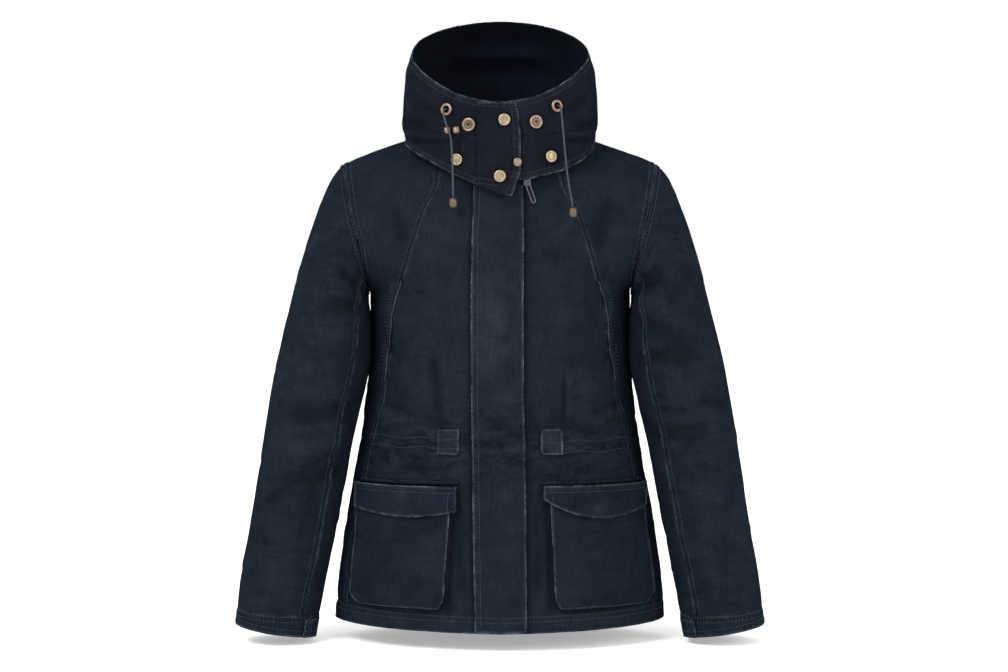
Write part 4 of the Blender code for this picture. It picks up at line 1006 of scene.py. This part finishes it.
def build_sleeves():
    gap = 0.0002
    rows = along(lambda v: sleeve(np.zeros_like(v), v), 0, CUFF_ROW - 0.001)
    cuff_rows = along(lambda v: sleeve(np.zeros_like(v), v), CUFF_ROW, 12.0)
    around = along(lambda a: sleeve(a, np.full_like(a, 6.0)), -SLEEVE_SEAM + gap, SLEEVE_SEAM - gap)
    below = along(lambda a: sleeve(a, np.full_like(a, 6.0)), SLEEVE_SEAM + gap, math.tau - SLEEVE_SEAM - gap)
    cuff = along(lambda a: sleeve(a, np.full_like(a, 11.5)), VENT - math.tau + 0.004, VENT - 0.004)
    tab = along(lambda a: sleeve(a, np.full_like(a, 11.5)), SLEEVE_SEAM, VENT + math.radians(22))
    for side, word in ((-1, "left"), (1, "right")):
        sleeve_cloth("sleeve_upper_" + word, side, around, rows,
                     {"first": "double", "last": "double", "top": "double", "bottom": "plain"})
        sleeve_cloth("sleeve_under_" + word, side, below, rows,
                     {"first": "plain", "last": "plain", "top": "double", "bottom": "plain"})
        sleeve_cloth("cuff_" + word, side, cuff, cuff_rows, {"first": "turned", "last": "turned", "top": "double",
                     "bottom": "turned_double"}, thick=2.6 * MM, lift=-2.0 * MM)
        sleeve_cloth("cuff_tab_" + word, side, tab, along(lambda v: sleeve(np.zeros_like(v), v), 11.12, 11.98),
                     {"first": "turned", "last": "turned", "top": "turned", "bottom": "turned"},
                     lift=1.9 * MM, thick=OVERLAY)


def hood_marks(points, height, wear, fade):
    """The hood's own light rubbing, in soft patches."""
    return height, wear, fade + 0.10 * np.clip(noise(points, 0.05, 41), 0, 1)


def build_hood():
    rows = along(lambda v: hood(np.full_like(v, 1.2), v), 0.0, 7.0)
    for side, word in ((-1, "left"), (1, "right")):
        angles = along(lambda a: hood(side * a, np.full_like(a, 5.0)), 0.0002, HOOD_STRIP - 0.0001)
        angle, row = grid(side * angles, rows)
        outward = -normal_of(hood, angle, row)
        outward[..., 0] *= np.clip(np.abs(np.sin(angle)) / 0.06, 0, 1)      # the halves meet in one plane
        cloth("hood_" + word, hood(angle, row), unit(outward), "hood",
              {"first": "plain", "last": "plain", "top": "plain", "bottom": "turned_double"}, marks=hood_marks)
    angles = along(lambda a: hood(a, np.full_like(a, 5.0)), HOOD_STRIP, math.tau - HOOD_STRIP)
    angle, row = grid(angles, rows)
    cloth("hood_centre", hood(angle, row), -normal_of(hood, angle, row), "hood",
          {"first": "double", "last": "double", "top": "plain", "bottom": "turned_double"})
    for side, word in ((-1, "left"), (1, "right")):
        angles = along(lambda a: skirt(side * a, np.full_like(a, 1.0)), 0.0016, SKIRT_END)
        angle, share = grid(side * angles, along(lambda s: skirt(np.zeros_like(s), s), 0, 1))
        points = skirt(angle, share)
        normals = unit(points * (1, 1, 0) - np.array((0, -10 * MM, 0)) + (0, 0, 12 * MM))
        cloth("hood_skirt_" + word, points, normals, "hood", {"first": "plain", "last": "plain",
              "bottom": "turned_double"}, thick=OVERLAY, lift=CLEAR, loose=0.7, taper=("top",),
              rests_on=["front_side_" + word])


def build_tab():
    edges = np.asarray(TAB_EDGES, float)
    heights = 44 - 117 * even_marks(0.117)
    left, right = (np.interp(-heights, -edges[:, 0], edges[:, column]) for column in (1, 2))
    share = even_marks(0.054)
    x = (left[:, None] + (right - left)[:, None] * share) * MM
    z = np.repeat(heights[:, None], len(share), 1) * MM
    points = tab_surface(x, z)
    outward = unit(np.stack((2 * x / TAB_CURVE, -1 + 0 * x, 0 * x), -1))
    cloth("chin_tab", points, outward, "hood", {"last": "turned_double", "top": "turned", "bottom": "turned"},
          thick=OVERLAY, loose=0.5, rests_on=["hood_left", "hood_right"], taper=("first",))


def on_front(x, z):
    """Points and outward normals of the front where x and z, in millimetres, are seen from the front."""
    middle = np.mean(x)
    guess = 0.02 if abs(middle) < 20 else 0.3 * math.copysign(1, middle)
    u, v = locate(front, x * MM, z * MM, guess, 7.0)
    return front(u, v), normal_of(front, u, v)


def build_flap():
    edges = np.asarray(FLAP_EDGES, float)
    heights = -52 - 571 * even_marks(0.572)
    left, right = (np.interp(-heights, -edges[:, 0], edges[:, column]) for column in (1, 2))
    x = left[:, None] + (right - left)[:, None] * even_marks(0.066)
    t = np.where(np.abs(x) < 1e-6, 1e-6, x)
    row = np.interp(-heights, [-r[2] for r in FRONT_ROWS[3:]], range(3, 13))[:, None] + 0 * x
    width = rows_at(FRONT_ROWS, row)
    t = t / (width[..., 3] * ((1 - width[..., 6]) + width[..., 6] * math.pi / 2))
    points, normals = front(t, row), normal_of(front, np.abs(t) + 1e-9, row)
    normals[..., 0] *= np.where(t < 0, -1, 1)
    cloth("storm_flap", points, normals, "flap", {"first": "turned_double", "last": "turned", "bottom": "turned"},
          thick=OVERLAY, lift=CLEAR, rests_on=["front_centre_left", "front_centre_right"])


def build_pockets():
    for word, sizes in POCKETS.items():
        side = sizes["side"]
        (_, outer_top, inner_top), (low_z, outer_low, inner_low), (end_z, outer_end, inner_end) = sizes["bag"]
        for node, inset, top_z, low, thick in (("gusset", 0.0, 446, POCKET_LIFT, GUSSET),
                                               ("face", 3.5, 448, POCKET_LIFT + GUSSET + 0.3 * MM, CLOTH)):
            heights = top_z + (end_z - inset - top_z) * even_marks(0.15)
            ends = (top_z, low_z, end_z - 5, end_z)
            outer = np.interp(heights, ends, (outer_top, outer_low, outer_low - 8, outer_end))
            inner = np.interp(heights, ends, (inner_top, inner_low, inner_low + 6, inner_end))
            share = even_marks(0.12)
            x = side * ((inner + inset)[:, None] + (outer - inner - 2 * inset)[:, None] * share)
            z = -np.repeat(heights[:, None], len(share), 1)
            points, normals = on_front(x, z)
            belly = 0.0
            if node == "face":
                down = (heights - top_z) / (end_z - top_z)
                belly = 3 * MM * np.outer(np.sin(0.15 + down * (math.pi - 0.15)), np.sin(math.pi * share))
            # the gusset gets painted shade (deep), as its sides lie in shadow
            cloth("pocket_" + node + "_" + word, points, normals, "pocket",
                  {"first": "turned", "last": "turned", "bottom": "turned", "top": "plain"} if node == "face"
                  else {"first": "open", "last": "open", "bottom": "open"}, thick=thick, lift=low, bulge=belly,
                  deep=0.0 if node == "face" else 0.85, rests_on=["front_side_" + word])
        outer, inner, top_out, top_in, low_out, low_mid, low_in = sizes["flap"]
        share = even_marks(0.13)
        x = side * (outer + (inner - outer) * share)
        top = top_out + (top_in - top_out) * share
        sag = low_out + (low_in - low_out) * share
        sag = sag + (low_mid - (low_out + low_in) / 2) * np.sin(math.pi * share) ** 0.8
        depth = even_marks(0.034)[:, None]
        z = -(top + (sag - top) * depth)
        points, normals = on_front(np.repeat(x[None], len(depth), 0), z)
        bulge = 3.2 * MM * depth * np.sin(math.pi * share)
        cloth("pocket_flap_" + word, points, normals, "pocket", {"first": "turned", "last": "turned",
              "bottom": "turned", "top": "turned_double"}, thick=OVERLAY, lift=8.4 * MM, bulge=bulge,
              rests_on=["pocket_face_" + word])
        outer, inner, top_out, top_in = sizes["welt"]
        x = side * (outer + (inner - outer) * share)
        top = top_out + (top_in - top_out) * share
        z = -(top + WELT * steps(0, 1, 5)[:, None])
        points, normals = on_front(np.repeat(x[None], 5, 0), z)
        # the welt gets painted shade (deep)
        cloth("pocket_welt_" + word, points, normals, "pocket", {"top": "plain"}, thick=OVERLAY,
              lift=POCKET_LIFT, deep=0.5, rests_on=["front_side_" + word])


def build_front_trim():
    for side, word in ((-1, "left"), (1, "right")):
        rows = along(lambda v: front(np.full_like(v, side * 0.62), v), 5.35, 7.75)
        share, row = grid(steps(0, 1, 8), rows)
        t = side * (chest_seam(row) + 0.004 + 0.045 * share)
        cloth("hand_welt_" + word, front(t, row), normal_of(front, t, row), "chest",
              {"first": "turned"}, thick=OVERLAY, lift=CLEAR, taper=("last",), rests_on=["front_side_" + word])
        x, z = grid((51 + 28 * even_marks(0.028)) * side, -367 - 33 * even_marks(0.033))
        points, normals = on_front(x, z)
        cloth("waist_patch_" + word, points, normals, "patch", {"first": "turned", "last": "turned",
              "top": "turned", "bottom": "turned"}, thick=1.2 * MM, lift=CLEAR,
              rests_on=["front_centre_" + word])


# ----------------------------------------------------------------------------------------------- stitches

STITCH_PITCH = 3.1 * MM
STITCH_SIZE = (2.3 * MM, 0.62 * MM, 0.36 * MM)      # length, width, height over the cloth
THREAD = {"chest": (0.030, 0.038, 0.054), "flap": (0.040, 0.050, 0.066), "sleeve": (0.030, 0.038, 0.052),
          "pocket": (0.034, 0.042, 0.058), "hood": (0.026, 0.030, 0.040), "patch": (0.04, 0.05, 0.066)}
KIND_OF = {"front": "chest", "back": "chest", "hand": "chest", "sleeve": "sleeve", "cuff": "sleeve",
           "hood": "hood", "chin": "hood", "storm": "flap", "pocket": "pocket", "waist": "patch"}


def cloth_tree():
    """One search tree over all the cloth, for placing stitches on it."""
    points, faces, start = [], [], 0
    for own_points, own_faces in FORMS:
        points.extend(own_points.tolist())
        faces.extend((own_faces + start).tolist())
        start += len(own_points)
    return BVHTree.FromPolygons(points, faces)


def stitch_frames(path_points, path_normals, tree, pitch=STITCH_PITCH):
    """Places, directions and normals of the stitches along one path, on the cloth's real surface."""
    gone = np.r_[0, np.cumsum(np.linalg.norm(np.diff(path_points, axis=0), axis=1))]
    marks = np.arange(pitch / 2, gone[-1], pitch)
    made = []
    for mark in marks:
        ends = [np.array([np.interp(np.clip(mark + d, 0, gone[-1]), gone, path_points[:, k]) for k in range(3)])
                for d in (-pitch / 2, 0, pitch / 2)]
        normal = np.array([np.interp(mark, gone, path_normals[:, k]) for k in range(3)])
        hit, face_normal, _, _ = tree.ray_cast(Vector(ends[1] + normal * 16 * MM), Vector(-normal), 22 * MM)
        facing = 0 if hit is None else face_normal.dot(Vector(normal))
        if abs(facing) < 0.3:
            continue
        made.append((np.array(hit), unit(ends[2] - ends[0]), np.array(face_normal) * math.copysign(1, facing)))
    return made


def stitch_mesh(frames, size):
    """Small rounded stitches, all in one list of points and faces."""
    length, width, height = size
    shape = [(-0.5, 0, -0.3)] + [(x, y, z) for x in (-0.28, 0.28) for y, z in ((-0.5, -0.2), (0, 1), (0.5, -0.2),
             (0, -0.6))] + [(0.5, 0, -0.3)]
    shape = np.array(shape) * (length, width, height)
    faces = [(0, 1 + (k + 1) % 4, 1 + k) for k in range(4)] + [(9, 5 + k, 5 + (k + 1) % 4) for k in range(4)]
    faces += [(1 + k, 1 + (k + 1) % 4, 5 + (k + 1) % 4, 5 + k) for k in range(4)]
    points, polygons = [], []
    for place, ahead, normal in frames:
        side = unit(np.cross(normal, ahead))
        ahead = np.cross(side, normal)
        start = len(points)
        points.extend((place + shape @ np.array((ahead, side, normal))).tolist())
        polygons.extend([tuple(start + k for k in face) for face in faces])
    return points, polygons


def surface_path(surface, u_values, v_values):
    u, v = np.asarray(u_values, float), np.asarray(v_values, float)
    return surface(u, v), normal_of(surface, u, v)


def more_paths():
    """Stitching that follows no panel's edge: the waist's channel and the bars beside the hand openings."""
    for side, heights in ((-1, (-380, -392)), (1, (-384, -398))):
        for height in heights:
            x = side * steps(52, 166, 60)
            z = height - 1.4 * np.sin(np.abs(x) / 9.0) + 0 * x
            STITCHES.setdefault("front_side", []).append(on_front(x, z))
    for height in (9.05, 9.42):
        STITCHES.setdefault("back", []).append(surface_path(back, steps(-0.98, 0.98, 160), np.full(160, height)))
    for side in (-1, 1):
        for row in np.arange(5.5, 7.65, 0.072):
            edge = side * chest_seam(row)
            t = edge + side * steps(0.052, 0.094, 5)
            STITCHES.setdefault("hand_bars", []).append(surface_path(front, t, np.full(5, row)))


def build_stitches():
    more_paths()
    tree = cloth_tree()
    for area, paths in STITCHES.items():
        kind = KIND_OF[area.split("_")[0]]
        frames = []
        for points, normals in paths:
            frames += stitch_frames(points, normals, tree)
        if not frames:
            continue
        points, faces = stitch_mesh(frames, STITCH_SIZE)
        mesh = bpy.data.meshes.new("stitches_" + area)
        mesh.from_pydata(points, [], faces)
        mesh.shade_smooth()
        mesh.materials.append(plain_finish("thread_" + kind, THREAD[kind], 0.7, 900.0, 0.0001))
        piece = place_object("stitches_" + area, mesh)
        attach(piece, "garment")


# ----------------------------------------------------------------------------------------------- hardware

# Turned profiles: radius, height, and how dark the metal is there from 0 to 1.
SNAP = ((0, 1.55, 0.1), (3.6, 1.6, 0.1), (4.1, 1.45, 0.75), (4.6, 1.45, 0.75), (5.0, 1.75, 0.0), (6.0, 1.95, 0.0),
        (6.9, 1.7, 0.05), (7.5, 1.1, 0.3), (7.6, 0.5, 0.7), (7.2, 0.0, 0.9), (0, 0.0, 1))
SOCKET = ((0, 0.5, 1), (2.4, 0.5, 1), (2.7, 1.5, 0.3), (3.6, 1.6, 0.1), (3.9, 0.9, 0.9), (5.2, 0.9, 0.8),
          (5.8, 1.8, 0.1), (6.8, 2.15, 0.0), (7.9, 1.9, 0.1), (8.6, 1.2, 0.4), (8.7, 0.5, 0.8), (8.2, 0, 1), (0, 0, 1))
EYELET = ((4.4, 0.0, 1), (7.7, 0.0, 0.8), (7.9, 0.5, 0.3), (7.4, 1.2, 0.1), (6.5, 1.65, 0.0), (5.5, 1.7, 0.05),
          (4.7, 1.4, 0.2), (4.4, 0.9, 0.6))
RIVET = ((0, 2.0, 0), (1.6, 1.9, 0.1), (3.2, 1.5, 0.15), (3.6, 1.1, 0.7), (4.4, 1.1, 0.3), (5.1, 0.8, 0.2),
         (5.4, 0.3, 0.6), (5.2, 0, 1), (0, 0, 1))
STOPPER = ((0, 0, 1), (2.2, 0.0, 1), (4.3, 0.1, 0.3), (4.8, 0.5, 0.1), (5.1, 1.2, 0.0), (4.6, 1.9, 0.7),
           (4.9, 2.5, 0.2), (5.3, 4.6, 0.1), (5.3, 8.2, 0.1), (4.9, 9.6, 0.2), (4.0, 11.2, 0.3), (2.9, 12.3, 0.5),
           (1.6, 12.6, 0.9), (0, 12.6, 1))
BARREL = ((0, 0, 1), (1.9, 0, 0.9), (3.4, 0.0, 0.2), (4.0, 0.25, 0.0), (4.4, 0.8, 0.0), (4.1, 1.3, 0.5),
          (4.5, 1.9, 0.1), (4.65, 3.7, 0.0), (4.5, 5.5, 0.1), (4.1, 6.1, 0.5), (4.4, 6.6, 0.0), (4.0, 7.15, 0.0),
          (3.4, 7.4, 0.2), (1.9, 7.4, 0.9), (0, 7.4, 1))
METALS = {"brass": ((0.37, 0.305, 0.19), (0.085, 0.062, 0.032), 0.42),
          "old_brass": ((0.30, 0.215, 0.155), (0.040, 0.030, 0.024), 0.44),
          "dark_metal": ((0.150, 0.112, 0.068), (0.030, 0.024, 0.018), 0.50),
          "grey_metal": ((0.125, 0.120, 0.135), (0.026, 0.026, 0.030), 0.48)}
FASTENERS = (
    ("eyelet_left", -67, 35.5, "hood", EYELET, "old_brass"),
    ("eyelet_right", 71.5, 40, "hood", EYELET, "old_brass"),
    ("socket_left", -39, 16, "hood", SOCKET, "old_brass"),
    ("socket_right", 45, 19.5, "hood", SOCKET, "old_brass"),
    ("snap_top", 5.5, 22, "tab", SNAP, "brass"),
    ("snap_lower_left", -53, -28, "skirt", SNAP, "brass"),
    ("snap_lower_right", 63, -24, "skirt", SNAP, "brass"),
    ("snap_lower_centre", 0, -48.5, "tab", SNAP, "brass"),
    ("rivet", 22, -31, "tab", RIVET, "old_brass"),
)
SIDES = 40


def turned(node, profile, seat, axis, metal):
    """A turned metal piece from (radius, height, darkness) rows; a profile off the axis gives a ring."""
    closed = profile[0][0] > 0 and profile[-1][0] > 0
    points, faces, shade, rings = [], [], [], []
    turn = Vector((0, 0, 1)).rotation_difference(Vector(axis)).to_matrix()
    for radius, height, dark in profile:
        count = SIDES if radius else 1
        rings.append(range(len(points), len(points) + count))
        for k in range(count):
            a = math.tau * k / SIDES
            local = Vector((radius * math.cos(a), radius * math.sin(a), height)) * MM
            points.append(Vector(seat) + turn @ local)
            shade.append(dark)
    for low, high in zip(rings, rings[1:] + ([rings[0]] if closed else [])):
        for k in range(SIDES):
            n = (k + 1) % SIDES
            corners = [low[k % len(low)], low[n % len(low)], high[n % len(high)], high[k % len(high)]]
            faces.append(list(dict.fromkeys(corners)))
    mesh = bpy.data.meshes.new("metal_" + node)
    mesh.from_pydata(points, [], faces)
    mesh.attributes.new("shade", "FLOAT", "POINT").data.foreach_set("value", np.array(shade, np.float32))
    turn_faces_out(mesh)
    mesh.shade_smooth()
    mesh.set_sharp_from_angle(angle=math.radians(50))
    mesh.materials.append(metal_finish(metal, *METALS[metal]))
    piece = place_object("metal_" + node, mesh)
    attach(piece, "garment")
    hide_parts(node)
    return piece


def seat_on(base, x, z):
    """The point and the outward normal on the outer face of what a fastener sits on."""
    x, z = x * MM, z * MM
    if base == "tab":
        return tab_surface(np.array(x), np.array(z)), unit(np.array((2 * x / TAB_CURVE, -1.0, 0.0)))
    surface, guess, lift = (hood, 5.0, 0.0) if base == "hood" else (skirt, 0.5, CLEAR + OVERLAY)
    u, v = locate(surface, x, z, math.asin(x / 0.125), guess)
    normal = normal_of(surface, u, v) * (-1 if base == "hood" else 1)
    return surface(u, v) + normal * lift, normal


def build_fasteners():
    for name, x, z, base, profile, metal in FASTENERS:
        point, normal = seat_on(base, x, z)
        turned(name, profile, point + normal * CLEAR, normal, metal)


def cord_finish():
    return plain_finish("braid", (0.020, 0.024, 0.034), 0.8, 1300.0, 0.0004)


def build_cords():
    toggles = [turned(name, BARREL, np.array((x, -111.5 if x > -60 else -101, 8.5)) * MM, (1, 0, 0.12), "old_brass")
               for name, x in (("toggle_left", -69.5), ("toggle_right", -58.2))]
    for word, route in (("left", CORD_LEFT), ("right", CORD_RIGHT)):
        line = rows_at(route, steps(0, len(route) - 1, 400)) * MM
        gone = np.r_[0, np.cumsum(np.linalg.norm(np.diff(line, axis=0), axis=1))]
        marks = steps(0, gone[-1], int(gone[-1] / (2 * MM)) + 1)
        points = np.stack([np.interp(marks, gone, line[:, k]) for k in range(3)], -1)
        curve = bpy.data.curves.new("drawcord_" + word, "CURVE")
        curve.dimensions = "3D"
        curve.bevel_depth = CORD_D / 2
        curve.bevel_resolution = 3
        curve.use_fill_caps = True
        spline = curve.splines.new("POLY")
        spline.points.add(len(points) - 1)
        for place, point in zip(spline.points, points):
            place.co = (*point, 1.0)
        curve.materials.append(cord_finish())
        piece = place_object("drawcord_" + word, curve)
        stopper = turned("stopper_" + word, STOPPER, points[-1] - np.array((0, 0, CLEAR)), (0.02, 0, -1),
                         "dark_metal")
        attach(piece, "garment")
        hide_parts("cord_" + word)


PULL_PIVOT = np.array((34.5, -101.6, -57.5)) * MM
PULL_TILT = math.radians(19.5)
PULL_LENGTH = 27 * MM
PULL_WIDTH = 6.5 * MM
PULL_THICK = 1.6 * MM
PULL_BAR = 1.6 * MM


def stadium(width, length, middle_z, sides=40):
    radius = width / 2
    loop = []
    for k in range(sides):
        turn = math.tau * (k + 0.5) / sides
        end = (length / 2 - radius) * (1 if math.sin(turn) > 0 else -1)
        loop.append((radius * math.cos(turn), middle_z + end + radius * math.sin(turn)))
    return loop


def build_zip():
    finish = metal_finish("grey_metal", *METALS["grey_metal"])
    middle = (PULL_BAR - PULL_LENGTH) / 2
    lip = 0.4 * MM
    half = PULL_THICK / 2
    bar = 2 * PULL_BAR
    section = ((2 * lip, -half), (0, -half + lip), (0, half - lip), (2 * lip, half),
               (bar - lip, half), (bar, half - lip / 2), (bar, -half + lip / 2), (bar - lip, -half))
    loops = [(stadium(PULL_WIDTH - less, PULL_LENGTH - less, middle), y) for less, y in section]
    place = Matrix.Translation(Vector(PULL_PIVOT)) @ Matrix.Rotation(-PULL_TILT, 4, "Y")
    points = [place @ Vector((x, y, z)) for loop, y in loops for x, z in loop]
    count = len(loops[0][0])
    faces = []
    for k in range(len(loops)):
        after = (k + 1) % len(loops)
        for j in range(count):
            n = (j + 1) % count
            faces.append((k * count + j, k * count + n, after * count + n, after * count + j))
    mesh = bpy.data.meshes.new("metal_zip_pull")
    mesh.from_pydata(points, [], faces)
    mesh.shade_smooth()
    mesh.set_sharp_from_angle(angle=math.radians(35))
    mesh.materials.append(finish)
    pull = place_object("metal_zip_pull", mesh)
    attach(pull, "pull")
    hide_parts("zip_pull")
    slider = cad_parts["zip_slider"]
    slider.material_slots[0].material = finish


def main():
    build_camera()
    build_cords()
    build_stage()
    build_body()
    build_sleeves()
    build_hood()
    build_tab()
    build_flap()
    build_pockets()
    build_front_trim()
    build_stitches()
    build_fasteners()
    build_zip()


main()
